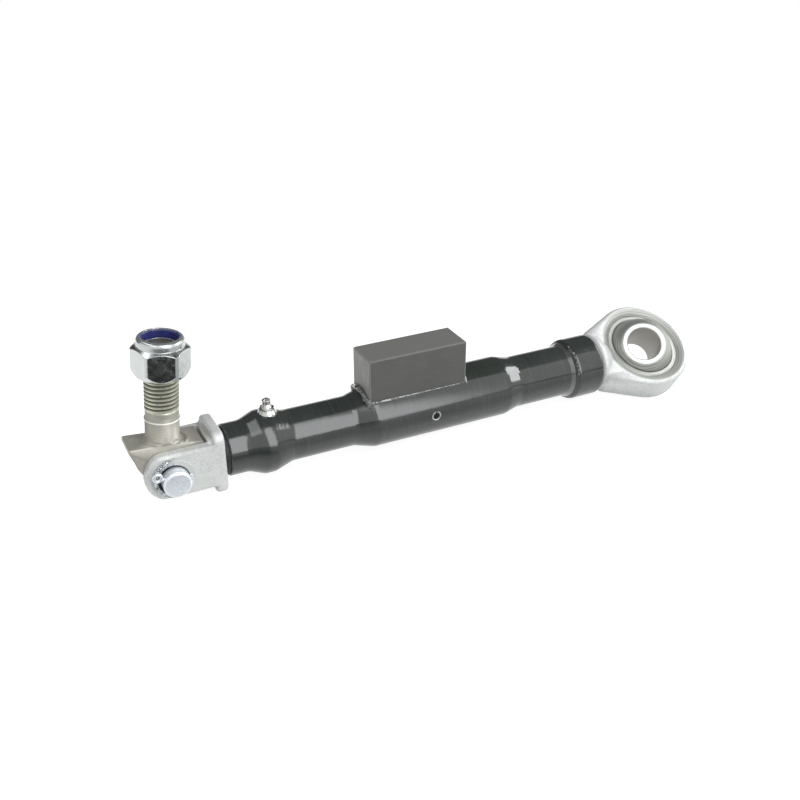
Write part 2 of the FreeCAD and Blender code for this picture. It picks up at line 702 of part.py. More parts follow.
def yoke_fork():
    """The forged fork: two ears, base plate and screwed stem."""
    body = new_body("fork_ears")
    half = "ear_height / 2"
    reach = "sqrt(ear_radius ^ 2 - ear_height ^ 2 / 4)"
    ear = [
        ("fork_reach + plate_thickness / 2", half),
        ("-" + reach, half, "ear_radius", 1),
        ("-" + reach, "-" + half),
        ("fork_reach + plate_thickness / 2", "-" + half),
    ]
    pad(body, "ears", outline(body, "XZ_Plane", "ear_outline", ear), "fork_width", symmetric=True)

    def ear_corner(edge):
        return near(abs(middle_of(edge).z), number(half)) and near(middle_of(edge).x, -number(reach))

    dress(body, "Fillet", "ear_corners", ear_corner, "ear_height / 4")

    def ear_edge(edge):
        point = middle_of(edge)
        return near(abs(point.y), number("fork_width") / 2) and point.x < number("fork_reach")

    dress(body, "Fillet", "ear_edges", ear_edge, "ear_edge")
    for side, sign, bend in (("upper", "", 1), ("lower", "-", -1)):
        fairing = [
            ("fork_reach - ear_fairing", sign + "(" + half + ")", "ear_fairing", bend),
            ("fork_reach", sign + "(" + half + " + ear_fairing)"),
            ("fork_reach + plate_thickness / 2", sign + "(" + half + " + ear_fairing)"),
            ("fork_reach + plate_thickness / 2", sign + "(" + half + " - ear_fairing)"),
            ("fork_reach - ear_fairing", sign + "(" + half + " - ear_fairing)"),
        ]
        sketch = outline(body, "XZ_Plane", side + "_fairing_outline", fairing)
        pad(body, side + "_fairing", sketch, "fork_width - 2 * ear_edge", symmetric=True)
    slot_end = "fork_reach - fork_web"
    slot = [
        (slot_end, "fork_slot / 2"),
        ("-2 * ear_radius", "fork_slot / 2"),
        ("-2 * ear_radius", "-fork_slot / 2"),
        (slot_end, "-fork_slot / 2"),
    ]
    pocket(body, "ear_slot", outline(body, "XY_Plane", "slot_outline", slot), "2 * plate_height")

    def slot_root(edge):
        point = middle_of(edge)
        at_slot = near(abs(point.y), number("fork_slot") / 2) and near(point.z, 0, 1)
        return near(point.x, number(slot_end)) and at_slot

    dress(body, "Fillet", "slot_roots", slot_root, "fork_root_round")
    hole = ring(body, "XZ_Plane", "pin_hole_outline", "0", "0", "pin_radius + running_gap")
    pocket(body, "pin_hole", hole, "2 * fork_width")
    stem_end = "fork_reach + plate_thickness + fork_gap + stop_station - stop_radius - stem_end_gap"
    stem = [
        ("fork_reach + plate_thickness / 4", "0"),
        ("fork_reach + plate_thickness / 4", "thread_radius"),
        (stem_end + " - stem_chamfer", "thread_radius"),
        (stem_end, "thread_radius - stem_chamfer"),
        (stem_end, "0"),
    ]
    turn(body, "stem", outline(body, "XZ_Plane", "stem_outline", stem))

    base = new_body("fork_plate")
    plate = [
        ("-fork_width / 2", "-plate_height / 2"),
        ("fork_width / 2", "-plate_height / 2"),
        ("fork_width / 2", "plate_height / 2"),
        ("-fork_width / 2", "plate_height / 2"),
    ]
    pad(base, "base_plate", outline(base, "YZ_Plane", "plate_outline", plate, "fork_reach"), "plate_thickness")

    def plate_corner(edge):
        point = middle_of(edge)
        return near(abs(point.z), number("plate_height") / 2) and near(abs(point.y), number("fork_width") / 2)

    dress(base, "Fillet", "plate_corners", plate_corner, "plate_corner")

    def plate_edge(edge):
        back = number("fork_reach + plate_thickness")
        return near(middle_of(edge).x, back) or near(middle_of(edge).x, number("fork_reach"))

    dress(base, "Fillet", "plate_edges", plate_edge, "plate_edge")
    fork = joined("fork_forging", [body, base])
    fork.Label = "yoke_fork"
    place(fork, PIN_PLACE)


def clevis_pin():
    """The headed pin through the ears, drilled for its split pin."""
    body = new_body("clevis_pin")
    head = "fork_width / 2 + face_gap"
    profile = [
        ("0", "-pin_end"),
        ("pin_radius - pin_chamfer", "-pin_end"),
        ("pin_radius", "-pin_end + pin_chamfer"),
        ("pin_radius", head),
        ("pin_head_radius", head),
        ("pin_head_radius", head + " + pin_head_height - pin_chamfer"),
        ("pin_head_radius - pin_chamfer", head + " + pin_head_height"),
        ("0", head + " + pin_head_height"),
    ]
    turn(body, "pin_turned", outline(body, "XY_Plane", "pin_outline", profile), "V_Axis")
    hole = ring(body, "YZ_Plane", "split_hole_outline", "-split_station", "0", "split_radius + split_hole_gap")
    pocket(body, "split_hole", hole, "4 * pin_radius")
    body.setExpression("Placement.Rotation.Angle", bound("split_roll"))
    body.setExpression("Placement.Rotation.Axis.x", "0")
    body.setExpression("Placement.Rotation.Axis.y", "1")
    body.setExpression("Placement.Rotation.Axis.z", "0")
    place(body, PIN_PLACE)


def pin_washer():
    """The flat washer between the fork and the split pin."""
    body = new_body("pin_washer")
    near_face = "-(fork_width / 2 + face_gap + washer_thickness)"
    profile = [
        ("pin_radius + running_gap", near_face),
        ("washer_radius", near_face),
        ("washer_radius", "-(fork_width / 2 + face_gap)"),
        ("pin_radius + running_gap", "-(fork_width / 2 + face_gap)"),
    ]
    turn(body, "washer_turned", outline(body, "XY_Plane", "washer_outline", profile), "V_Axis")
    radius = number("washer_radius")
    dress(
        body,
        "Fillet",
        "washer_rounds",
        lambda edge: is_ring(edge, radius) and near(edge.Curve.Center.y, number(near_face)),
        "washer_thickness / 6",
    )
    place(body, PIN_PLACE)


def split_pin():
    """The split pin: an eye, a doubled wire through the pin and two legs bent round it."""
    length = "2 * pin_radius + 2 * split_radius"
    shank = cylinder("split_shank", "split_radius", length, (1, 0, 0), "-pin_radius - split_radius")
    rounds = {"Radius1": "split_eye_radius", "Radius2": "split_eye_wire"}
    eye = part_feature("Part::Torus", "split_eye", rounds)
    eye.Placement = FreeCAD.Placement(FreeCAD.Vector(), FreeCAD.Rotation(FreeCAD.Vector(1, 0, 0), 90))
    eye.setExpression("Placement.Base.x", bound("-(pin_radius + split_radius + split_eye_radius)"))
    legs = []
    for name in ("upper", "lower"):
        leg = part_feature(
            "Part::Torus",
            "split_leg_" + name,
            {
                "Radius1": "pin_radius + split_leg_wire + split_hole_gap",
                "Radius2": "split_leg_wire",
                "Angle3": "split_bend",
            },
        )
        start = 0 if name == "lower" else -number("split_bend")
        leg.Placement = FreeCAD.Placement(
            FreeCAD.Vector(), FreeCAD.Rotation(FreeCAD.Vector(1, 0, 0), 90).multiply(
                FreeCAD.Rotation(FreeCAD.Vector(0, 0, 1), start)
            )
        )
        legs.append(leg)
    pin = joined("split_bent", [shank, eye] + legs)
    pin.Label = "split_pin"
    pin.setExpression("Placement.Rotation.Angle", bound("split_roll"))
    pin.setExpression("Placement.Rotation.Axis.x", "0")
    pin.setExpression("Placement.Rotation.Axis.y", "1")
    pin.setExpression("Placement.Rotation.Axis.z", "0")
    pin.setExpression("Placement.Base.y", bound("-split_station"))
    place(pin, PIN_PLACE)
    return pin


def lean(body):
    """Leans a piece of the stud about the clevis pin, top towards the barrel."""
    body.setExpression("Placement.Rotation.Angle", bound("stud_lean"))
    body.setExpression("Placement.Rotation.Axis.x", "0")
    body.setExpression("Placement.Rotation.Axis.y", "1")
    body.setExpression("Placement.Rotation.Axis.z", "0")
    place(body, PIN_PLACE)


def tangent_angle(across, up):
    """The slope of a line from a point beside the pin that grazes the boss from below."""
    return "atan((%s) / %s) + asin(head_boss_radius / sqrt(%s ^ 2 + (%s) ^ 2))" % (up, across, across, up)


def swivel_stud():
    """The forged wedge head on the clevis pin with its long stud."""
    body = new_body("swivel_stud")
    tip_low = "head_top - head_tip_depth"
    heel_low = "head_top - head_tail_depth"
    tip_spread = "(" + tangent_angle("head_tip", tip_low) + ")"
    heel_spread = "(" + tangent_angle("head_heel", heel_low) + ")"
    head = [
        ("-head_tip", "head_top"),
        ("-head_tip", tip_low),
        (
            "-head_boss_radius * sin" + tip_spread,
            "-head_boss_radius * cos" + tip_spread,
            "head_boss_radius",
            1,
        ),
        ("head_boss_radius * sin" + heel_spread, "-head_boss_radius * cos" + heel_spread),
        ("head_heel", heel_low),
        ("head_tail", "head_top"),
    ]
    pad(body, "head", outline(body, "XZ_Plane", "head_outline", head), "head_width", symmetric=True)
    top = number("head_top")

    def forged(edge):
        point = middle_of(edge)
        return near(point.z, top) or (near(abs(point.x), number("head_tip")) and abs(point.y) > 1)

    dress(body, "Fillet", "forged_edges", forged, "head_round")
    shank = [
        ("0", "0"),
        ("stud_radius", "0"),
        ("stud_radius", "stud_step"),
        ("stud_radius - stud_step_depth", "stud_step + stud_step_depth"),
        ("stud_radius - stud_step_depth", "stud_end - stud_chamfer"),
        ("stud_radius - stud_step_depth - stud_chamfer", "stud_end"),
        ("0", "stud_end"),
    ]
    shank = [(across + " - stud_offset" if across != "0" else "-stud_offset", up) for across, up in shank]
    sketch = outline(body, "XZ_Plane", "shank_outline", shank)
    feature = body.newObject("PartDesign::Revolution", "shank")
    feature.Profile = sketch
    axis = len(shank) - 1
    feature.ReferenceAxis = (sketch, ["Edge%d" % (axis + 1)])
    feature.Angle = 360
    document.recompute()
    hole = ring(body, "XZ_Plane", "stud_hole_outline", "0", "0", "pin_radius + running_gap")
    pocket(body, "stud_hole", hole, "2 * head_width")
    lean(body)


def lock_nut():
    """The hexagon nut with its round collar crimped over the nylon ring."""
    body = new_body("lock_nut")
    flats = hexagon(body, "XY_Plane", "nut_outline", "nut_flats", "nut_clock")
    pad(body, "nut_hexagon", flats, "nut_hex_height")
    beyond = "nut_flats"
    rim = [
        (beyond, "0"),
        ("nut_foot_radius", "0"),
        ("nut_corner_radius", "nut_foot_chamfer"),
        ("nut_corner_radius", "nut_hex_height - nut_face_chamfer"),
        ("nut_face_radius", "nut_hex_height"),
        (beyond, "nut_hex_height"),
    ]
    groove(body, "nut_corners", outline(body, "XZ_Plane", "nut_corners_outline", rim), "V_Axis")
    collar = [
        ("stud_radius + running_gap", "nut_hex_height - nut_lip"),
        ("nut_collar_radius", "nut_hex_height - nut_lip"),
        ("nut_collar_radius", "nut_height - nut_collar_round", "nut_collar_round", 1),
        ("nut_collar_radius - nut_collar_round", "nut_height"),
        ("stud_radius + running_gap", "nut_height"),
    ]
    turn(body, "nut_collar", outline(body, "XZ_Plane", "nut_collar_outline", collar), "V_Axis")
    inner = "nut_collar_radius - nut_collar_wall"
    bottom = "nut_height - nut_lip - insert_height - insert_gap"
    hollow = [
        ("0", "-nut_lip"),
        ("stud_radius + running_gap", "-nut_lip"),
        ("stud_radius + running_gap", bottom),
        (inner, bottom),
        (inner, "nut_height - nut_lip"),
        ("nut_mouth_radius", "nut_height - nut_lip"),
        ("nut_mouth_radius", "nut_height + nut_lip"),
        ("0", "nut_height + nut_lip"),
    ]
    groove(body, "nut_hollow", outline(body, "XZ_Plane", "nut_hollow_outline", hollow), "V_Axis")
    raise_on_stud(body)


def raise_on_stud(body):
    """Sets a piece on the stud at the nut's height."""
    body.setExpression("Placement.Rotation.Angle", bound("stud_lean"))
    body.setExpression("Placement.Rotation.Axis.x", "0")
    body.setExpression("Placement.Rotation.Axis.y", "1")
    body.setExpression("Placement.Rotation.Axis.z", "0")
    place(
        body,
        PIN_PLACE + " - stud_offset * cos(stud_lean) + nut_seat * sin(stud_lean)",
        "stud_offset * sin(stud_lean) + nut_seat * cos(stud_lean)",
    )


def nut_insert():
    """The nylon ring under the crimped lip."""
    body = new_body("nut_insert")
    outer = "nut_collar_radius - nut_collar_wall - insert_gap"
    bottom = "nut_height - nut_lip - insert_height"
    wall = [
        ("stud_radius + running_gap", bottom),
        (outer, bottom),
        (outer, "nut_height - nut_lip - insert_gap"),
        ("stud_radius + running_gap", "nut_height - nut_lip - insert_gap"),
    ]
    turn(body, "insert_turned", outline(body, "XZ_Plane", "insert_outline", wall), "V_Axis")
    raise_on_stud(body)


def roll(body):
    """Rolls a piece of the eye about the barrel's axis."""
    body.Placement = FreeCAD.Placement(FreeCAD.Vector(), FreeCAD.Rotation(FreeCAD.Vector(1, 0, 0), 1))
    body.setExpression("Placement.Rotation.Angle", bound("eye_roll"))
    document.recompute()


def ball_eye():
    """The forged teardrop eye with its shoulder and screwed stem."""
    body = new_body("ball_eye")
    shoulder = "-(eye_reach - eye_gap)"
    disc = ring(body, "XY_Plane", "disc_outline", "0", "0", "eye_radius")
    pad(body, "disc", disc, "eye_thickness", symmetric=True)
    waist = "-(eye_reach - eye_gap - eye_shoulder_length)"
    spread = "asin((eye_radius - eye_shoulder_radius) / (eye_reach - eye_gap - eye_shoulder_length))"
    drop = [
        (waist, "eye_shoulder_radius"),
        (waist, "-eye_shoulder_radius"),
        ("-eye_radius * sin(" + spread + ")", "-eye_radius * cos(" + spread + ")"),
        ("-eye_radius * sin(" + spread + ")", "eye_radius * cos(" + spread + ")"),
    ]
    pad(body, "taper", outline(body, "XY_Plane", "taper_outline", drop), "eye_thickness", symmetric=True)
    half = number("eye_thickness") / 2

    def rim(edge):
        point = middle_of(edge)
        return near(abs(point.z), half) and point.x > number(waist) + 1

    dress(body, "Chamfer", "eye_rims", rim, "eye_edge")
    stem_start = "-(eye_reach + collar_overhang + tube_length - stop_station - stop_radius - stem_end_gap)"
    neck = [
        (stem_start, "0"),
        (stem_start, "thread_radius - stem_chamfer"),
        (stem_start + " + stem_chamfer", "thread_radius"),
        (shoulder, "thread_radius"),
        (shoulder, "eye_shoulder_radius"),
        (waist, "eye_shoulder_radius"),
        (waist + " + eye_fairing", "eye_fairing_radius"),
        (waist + " + eye_fairing", "0"),
    ]
    turn(body, "neck", outline(body, "XZ_Plane", "neck_outline", neck))
    bore = "race_radius + running_gap"
    lip = "race_lip_width / 2 + running_gap"
    half_eye = "eye_thickness / 2"
    hollow = [
        ("0", half_eye + " + recess_depth"),
        ("recess_radius", half_eye + " + recess_depth"),
        ("recess_radius", half_eye),
        (bore, half_eye + " - recess_depth"),
        (bore, lip),
        (bore + " + race_lip", lip),
        (bore + " + race_lip", "-(" + lip + ")"),
        (bore, "-(" + lip + ")"),
        (bore, "-(" + half_eye + " - recess_depth)"),
        ("recess_radius", "-" + half_eye),
        ("recess_radius", "-(" + half_eye + " + recess_depth)"),
        ("0", "-(" + half_eye + " + recess_depth)"),
    ]
    groove(body, "eye_bore", outline(body, "XZ_Plane", "eye_bore_outline", hollow), "V_Axis")
    roll(body)


def bearing_race():
    """The ring with the hollow spherical seat and a ridge that keys it in the eye."""
    body = new_body("bearing_race")
    seat = "ball_radius + running_gap"
    half = "race_thickness / 2"
    mouth = "sqrt((ball_radius + running_gap) ^ 2 - race_thickness ^ 2 / 4)"
    wall = [
        (mouth, "-" + half),
        ("race_radius - race_edge", "-" + half),
        ("race_radius", "-(" + half + " - race_edge)"),
        ("race_radius", "-race_lip_width / 2"),
        ("race_radius + race_lip", "-race_lip_width / 2"),
        ("race_radius + race_lip", "race_lip_width / 2"),
        ("race_radius", "race_lip_width / 2"),
        ("race_radius", half + " - race_edge"),
        ("race_radius - race_edge", half),
        (mouth, half, seat, -1),
    ]
    turn(body, "race_turned", outline(body, "XZ_Plane", "race_outline", wall), "V_Axis")
    roll(body)


def ball():
    """The ball with flats and a chamfered bore, leaning in its race."""
    body = new_body("ball")
    half = "ball_width / 2"
    flat = "sqrt(ball_radius ^ 2 - ball_width ^ 2 / 4)"
    wall = [
        ("ball_bore + ball_bore_chamfer", "-" + half),
        (flat, "-" + half, "ball_radius", 1),
        (flat, half),
        ("ball_bore + ball_bore_chamfer", half),
        ("ball_bore", half + " - ball_bore_chamfer"),
        ("ball_bore", "-(" + half + " - ball_bore_chamfer)"),
    ]
    turn(body, "ball_turned", outline(body, "XZ_Plane", "ball_outline", wall), "V_Axis")
    upright = FreeCAD.Rotation(FreeCAD.Vector(1, 0, 0), number("eye_roll"))
    swing = FreeCAD.Rotation(FreeCAD.Vector(0, 0, 1), number("ball_turn"))
    tilt = FreeCAD.Rotation(FreeCAD.Vector(0, 1, 0), number("ball_lean"))
    body.Placement = FreeCAD.Placement(FreeCAD.Vector(), upright.multiply(swing).multiply(tilt))
    document.recompute()


barrel_tube()
end_collar()
collar_weld()
weight_block()
block_weld()
grease_nipple()
stop_pin()
dust_ring("left_seal", "fork_gap - seal_gap", "(1)", TUBE_START)
dust_ring("right_seal", "collar_overhang + eye_gap - seal_gap", "(-1)", TUBE_END)
yoke_fork()
clevis_pin()
pin_washer()
split_pin()
swivel_stud()
lock_nut()
nut_insert()
ball_eye()
bearing_race()
ball()
document.recompute()

NODES = [
    "barrel_tube",
    "end_collar",
    "collar_weld",
    "weight_block",
    "block_weld",
    "grease_nipple",
    "nipple_ball",
    "stop_pin",
    "left_seal",
    "right_seal",
    "yoke_fork",
    "clevis_pin",
    "pin_washer",
    "split_pin",
    "swivel_stud",
    "lock_nut",
    "nut_insert",
    "ball_eye",
    "bearing_race",
    "ball",
]

for item in document.Objects:
    if "Invalid" in item.State or "Error" in item.State:
        raise ValueError(item.Label + " failed: " + str(item.State))

pieces = {}
for node in NODES:
    shape = document.getObjectsByLabel(node)[0].Shape
    if shape.isNull() or not shape.isValid():
        raise ValueError(node + " isn't a valid shape")
    pieces[node] = shape

os.makedirs("parts", exist_ok=True)
for node, shape in pieces.items():
    shape.exportStep("parts/" + node + ".step")
    print(node, "volume", round(shape.Volume), "solids", len(shape.Solids))
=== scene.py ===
import math

import bmesh
import bpy
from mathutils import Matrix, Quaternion, Vector, noise


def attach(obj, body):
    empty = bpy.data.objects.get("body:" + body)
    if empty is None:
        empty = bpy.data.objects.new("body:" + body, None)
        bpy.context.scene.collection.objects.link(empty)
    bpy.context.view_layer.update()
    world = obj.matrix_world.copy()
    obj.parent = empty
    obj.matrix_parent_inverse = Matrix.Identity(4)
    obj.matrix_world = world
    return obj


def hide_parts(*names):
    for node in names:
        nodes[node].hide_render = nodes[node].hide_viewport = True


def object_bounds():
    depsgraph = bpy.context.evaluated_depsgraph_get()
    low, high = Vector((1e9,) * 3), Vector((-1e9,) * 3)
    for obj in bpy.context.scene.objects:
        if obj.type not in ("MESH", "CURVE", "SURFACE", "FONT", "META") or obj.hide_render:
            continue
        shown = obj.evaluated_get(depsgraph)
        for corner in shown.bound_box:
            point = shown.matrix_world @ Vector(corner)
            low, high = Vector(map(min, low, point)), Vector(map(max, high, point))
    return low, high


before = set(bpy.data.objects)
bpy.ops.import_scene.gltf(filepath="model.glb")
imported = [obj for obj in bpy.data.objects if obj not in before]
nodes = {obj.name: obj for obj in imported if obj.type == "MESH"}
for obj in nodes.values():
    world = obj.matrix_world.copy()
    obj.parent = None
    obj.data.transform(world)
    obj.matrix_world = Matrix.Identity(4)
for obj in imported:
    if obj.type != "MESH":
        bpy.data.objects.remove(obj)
CAD_BOX = [list(corner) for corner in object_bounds()]

# Places in the CAD frame, in metres. The ball's centre is the origin.
MM = 0.001
PIN_X = -0.4155
STUD_LEAN = math.radians(5.2)
STUD_OFFSET = 2.4 * MM
THREAD_PITCH = 3.0 * MM
COLLAR_BACK_X = -0.0802
COLLAR_RADIUS = 25.2 * MM
TUBE_RADIUS = 24.15 * MM
BLOCK_X = -0.2217
BLOCK_LENGTH = 82 * MM
BLOCK_WIDTH = 30.2 * MM
HEAD_TOP = 21.3 * MM
HEAD_WIDTH = 24.4 * MM
PIN_RADIUS = 10 * MM
SHANK_RADIUS = 11.95 * MM
STUD_THREAD_DEPTH = 1.8 * MM
STEP_HEIGHT = 37.9 * MM
THREAD_START = 44.8 * MM
STUD_END = 92.6 * MM
STEM_RADIUS = 13.5 * MM
STEM_THREAD_DEPTH = 1.7 * MM
NUT_COLLAR_RADIUS = 16.9 * MM
RECESS_RADIUS = 37.1 * MM
MOUTH_RADIUS = 27.6 * MM
BALL_HALF_WIDTH = 21.3 * MM
BORE_RADIUS = 14.2 * MM
FLOOR_Z = CAD_BOX[0][2] - 0.0005
EYE_AXIS = Vector((0, -0.512043, 0.85896))
BALL_AXIS = Vector((-0.29536, -0.658699, 0.69201))

STUD_AXIS = Vector((math.sin(STUD_LEAN), 0, math.cos(STUD_LEAN)))
STUD_FOOT = Vector((PIN_X - STUD_OFFSET * math.cos(STUD_LEAN), 0, STUD_OFFSET * math.sin(STUD_LEAN)))


# ---- node helpers ----

class Nodes:
    """Short calls for building one material's nodes."""

    def __init__(self, name):
        self.material = bpy.data.materials.new(name)
        self.material.use_nodes = True
        self.tree = self.material.node_tree
        self.shader = self.tree.nodes["Principled BSDF"]
        self.place = self.add("ShaderNodeTexCoord").outputs["Object"]

    def add(self, kind, **values):
        node = self.tree.nodes.new(kind)
        for key, value in values.items():
            setattr(node, key, value)
        return node

    def link(self, out, into):
        self.tree.links.new(out, into)

    def stretched(self, scale):
        """The place with each direction scaled, for drawn-out noise."""
        node = self.add("ShaderNodeMapping")
        node.inputs["Scale"].default_value = scale
        self.link(self.place, node.inputs["Vector"])
        return node.outputs["Vector"]

    def noise(self, scale, detail=4, rough=0.5, vector=None, distortion=0):
        node = self.add("ShaderNodeTexNoise")
        node.inputs["Scale"].default_value = scale
        node.inputs["Detail"].default_value = detail
        node.inputs["Roughness"].default_value = rough
        node.inputs["Distortion"].default_value = distortion
        self.link(vector or self.place, node.inputs["Vector"])
        return node.outputs["Fac"]

    def along(self, axis, foot=(0, 0, 0)):
        """The height of a place over a foot along an axis, and its distance from that axis."""
        from_foot = self.add("ShaderNodeVectorMath", operation="SUBTRACT")
        from_foot.inputs[1].default_value = foot
        self.link(self.place, from_foot.inputs[0])
        height = self.add("ShaderNodeVectorMath", operation="DOT_PRODUCT")
        height.inputs[1].default_value = axis
        self.link(from_foot.outputs["Vector"], height.inputs[0])
        across = self.add("ShaderNodeVectorMath", operation="CROSS_PRODUCT")
        across.inputs[1].default_value = axis
        self.link(from_foot.outputs["Vector"], across.inputs[0])
        length = self.add("ShaderNodeVectorMath", operation="LENGTH")
        self.link(across.outputs["Vector"], length.inputs[0])
        return height.outputs["Value"], length.outputs["Value"]

    def rings(self, distance, pitch, seed_scale=60):
        """Fine turned rings by a distance, with a little wander."""
        wander = self.math("MULTIPLY", self.noise(seed_scale, 2), pitch * 1.2)
        phase = self.math("MULTIPLY", self.math("ADD", distance, wander), 2 * math.pi / pitch)
        return self.math("SINE", phase, 0)

    def ramp(self, value, stops):
        node = self.add("ShaderNodeValToRGB")
        elements = node.color_ramp.elements
        while len(elements) < len(stops):
            elements.new(0.5)
        for element, (position, colour) in zip(elements, stops):
            element.position = position
            element.color = (*colour, 1)
        self.link(value, node.inputs["Fac"])
        return node.outputs["Color"]

    def level(self, value, low, high, start=0.0, end=1.0):
        """Maps a value's span to another one."""
        node = self.add("ShaderNodeMapRange")
        node.inputs["From Min"].default_value = start
        node.inputs["From Max"].default_value = end
        node.inputs["To Min"].default_value = low
        node.inputs["To Max"].default_value = high
        self.link(value, node.inputs["Value"])
        return node.outputs["Result"]

    def mixed(self, first, second, share, blend="MIX"):
        """Two colours mixed by a share, each a socket or a value."""
        node = self.add("ShaderNodeMix", data_type="RGBA", blend_type=blend)
        for socket, value in ((node.inputs[0], share), (node.inputs[6], first), (node.inputs[7], second)):
            if isinstance(value, bpy.types.NodeSocket):
                self.link(value, socket)
            elif isinstance(value, (int, float)):
                socket.default_value = value
            else:
                socket.default_value = (*value, 1)
        return node.outputs[2]

    def math(self, operation, first, second):
        node = self.add("ShaderNodeMath", operation=operation)
        for socket, value in zip(node.inputs, (first, second)):
            if isinstance(value, bpy.types.NodeSocket):
                self.link(value, socket)
            else:
                socket.default_value = value
        return node.outputs[0]

    def bumps(self, *layers, edge=0.0):
        """Bump layers, each a height socket and its depth in metres, over rounded edges."""
        normal = None
        if edge:
            node = self.add("ShaderNodeBevel", samples=6)
            node.inputs["Radius"].default_value = edge
            normal = node.outputs["Normal"]
        for height, depth in layers:
            node = self.add("ShaderNodeBump")
            node.inputs["Strength"].default_value = 1
            node.inputs["Distance"].default_value = depth
            self.link(height, node.inputs["Height"])
            if normal:
                self.link(normal, node.inputs["Normal"])
            normal = node.outputs["Normal"]
        self.link(normal, self.shader.inputs["Normal"])

    def set(self, **values):
        for key, value in values.items():
            socket = self.shader.inputs[key.replace("_", " ")]
            if isinstance(value, bpy.types.NodeSocket):
                self.link(value, socket)
            elif isinstance(value, (int, float)):
                socket.default_value = value
            else:
                socket.default_value = (*value, 1)


# ---- materials ----

def barrel_paint():
    """Dark grey gloss paint with faint orange peel, turning marks and dust."""
    m = Nodes("barrel_paint")
    cloud = m.noise(28, 3)
    colour = m.ramp(cloud, [(0.3, (0.029, 0.034, 0.030)), (0.7, (0.038, 0.043, 0.039))])
    speck = m.ramp(m.noise(520, 2), [(0.70, (0, 0, 0)), (0.76, (1, 1, 1))])
    colour = m.mixed(colour, (0.09, 0.095, 0.09), m.math("MULTIPLY", speck, 0.5))
    rubbed = m.level(m.noise(700, 3, 0.6, m.stretched((1, 0.03, 0.03))), 0, 0.2, 0.55, 0.7)
    m.set(Base_Color=m.mixed(colour, (0.085, 0.09, 0.092), rubbed))
    m.set(Roughness=m.level(cloud, 0.11, 0.17, 0.3, 0.7), Specular_IOR_Level=0.76)
    turned = m.noise(420, 3, 0.6, m.stretched((1, 0.02, 0.02)))
    scuff = m.level(m.noise(150, 4, 0.7, m.stretched((1, 0.25, 0.25))), 0, 1, 0.52, 0.72)
    m.bumps(
        (m.noise(230, 2), 0.000035),
        (m.math("MULTIPLY", turned, scuff), 0.00006),
        (m.noise(900, 2), 0.000006),
        edge=0.0006,
    )
    return m.material


def block_paint():
    """The same paint, thin and dull over sawn and milled steel; painted light lightens the top faces and the
    rounded edges, and lightens the sawn ends over their sawn grain.
    """
    m = Nodes("block_paint")
    lines = m.noise(60, 5, 0.65, m.stretched((1.2, 16, 16)))
    fine = m.noise(240, 3, 0.6, m.stretched((0.7, 14, 14)))
    sawn = m.noise(60, 5, 0.65, m.stretched((14, 14, 1.2)))
    cloud = m.noise(35, 3)
    colour = m.ramp(
        lines, [(0.25, (0.080, 0.082, 0.074)), (0.55, (0.090, 0.091, 0.083)), (0.8, (0.108, 0.108, 0.099))]
    )
    colour = m.mixed(colour, (0.068, 0.068, 0.063), m.level(cloud, 0.0, 0.45, 0.45, 0.75))
    facing = m.add("ShaderNodeNewGeometry").outputs["True Normal"]
    parts = m.add("ShaderNodeSeparateXYZ")
    m.link(facing, parts.inputs[0])
    # Painted light: faces that look up are mixed towards a lighter grey.
    top = m.level(parts.outputs["Z"], 0, 0.75, 0.6, 0.8)
    # Painted light over the real sawn grain: faces that look along the barrel get a much lighter grey.
    end = m.level(m.math("ABSOLUTE", parts.outputs["X"], 0), 0, 1, 0.6, 0.8)
    colour = m.mixed(colour, (0.165, 0.167, 0.153), top)
    colour = m.mixed(colour, m.ramp(sawn, [(0.3, (0.25, 0.25, 0.235)), (0.7, (0.42, 0.42, 0.40))]), end)
    rounded = m.add("ShaderNodeBevel", samples=6)
    rounded.inputs["Radius"].default_value = 0.0011
    across_edge = m.add("ShaderNodeVectorMath", operation="DOT_PRODUCT")
    m.link(rounded.outputs["Normal"], across_edge.inputs[0])
    m.link(facing, across_edge.inputs[1])
    # Painted highlight: rounded edges, where the bevelled normal leaves the true one, are lightened.
    painted_edge_highlight = m.level(across_edge.outputs["Value"], 0.8, 0, 0.86, 0.985)
    m.set(Base_Color=m.mixed(colour, (0.24, 0.24, 0.225), painted_edge_highlight))
    m.set(Roughness=m.level(fine, 0.40, 0.60, 0.3, 0.7), Specular_IOR_Level=0.42)
    m.bumps((lines, 0.00004), (fine, 0.00001), edge=0.0007)
    return m.material


def weld_paint():
    """Glossy paint over lumpy weld metal."""
    m = Nodes("weld_paint")
    cloud = m.noise(90, 3)
    m.set(Base_Color=m.ramp(cloud, [(0.3, (0.050, 0.055, 0.049)), (0.7, (0.085, 0.090, 0.080))]))
    m.set(Roughness=m.level(cloud, 0.14, 0.26, 0.3, 0.7), Specular_IOR_Level=1.0)
    m.set(Coat_Weight=0.7, Coat_IOR=1.8, Coat_Roughness=0.12)
    m.bumps((m.noise(420, 2), 0.00012))
    return m.material


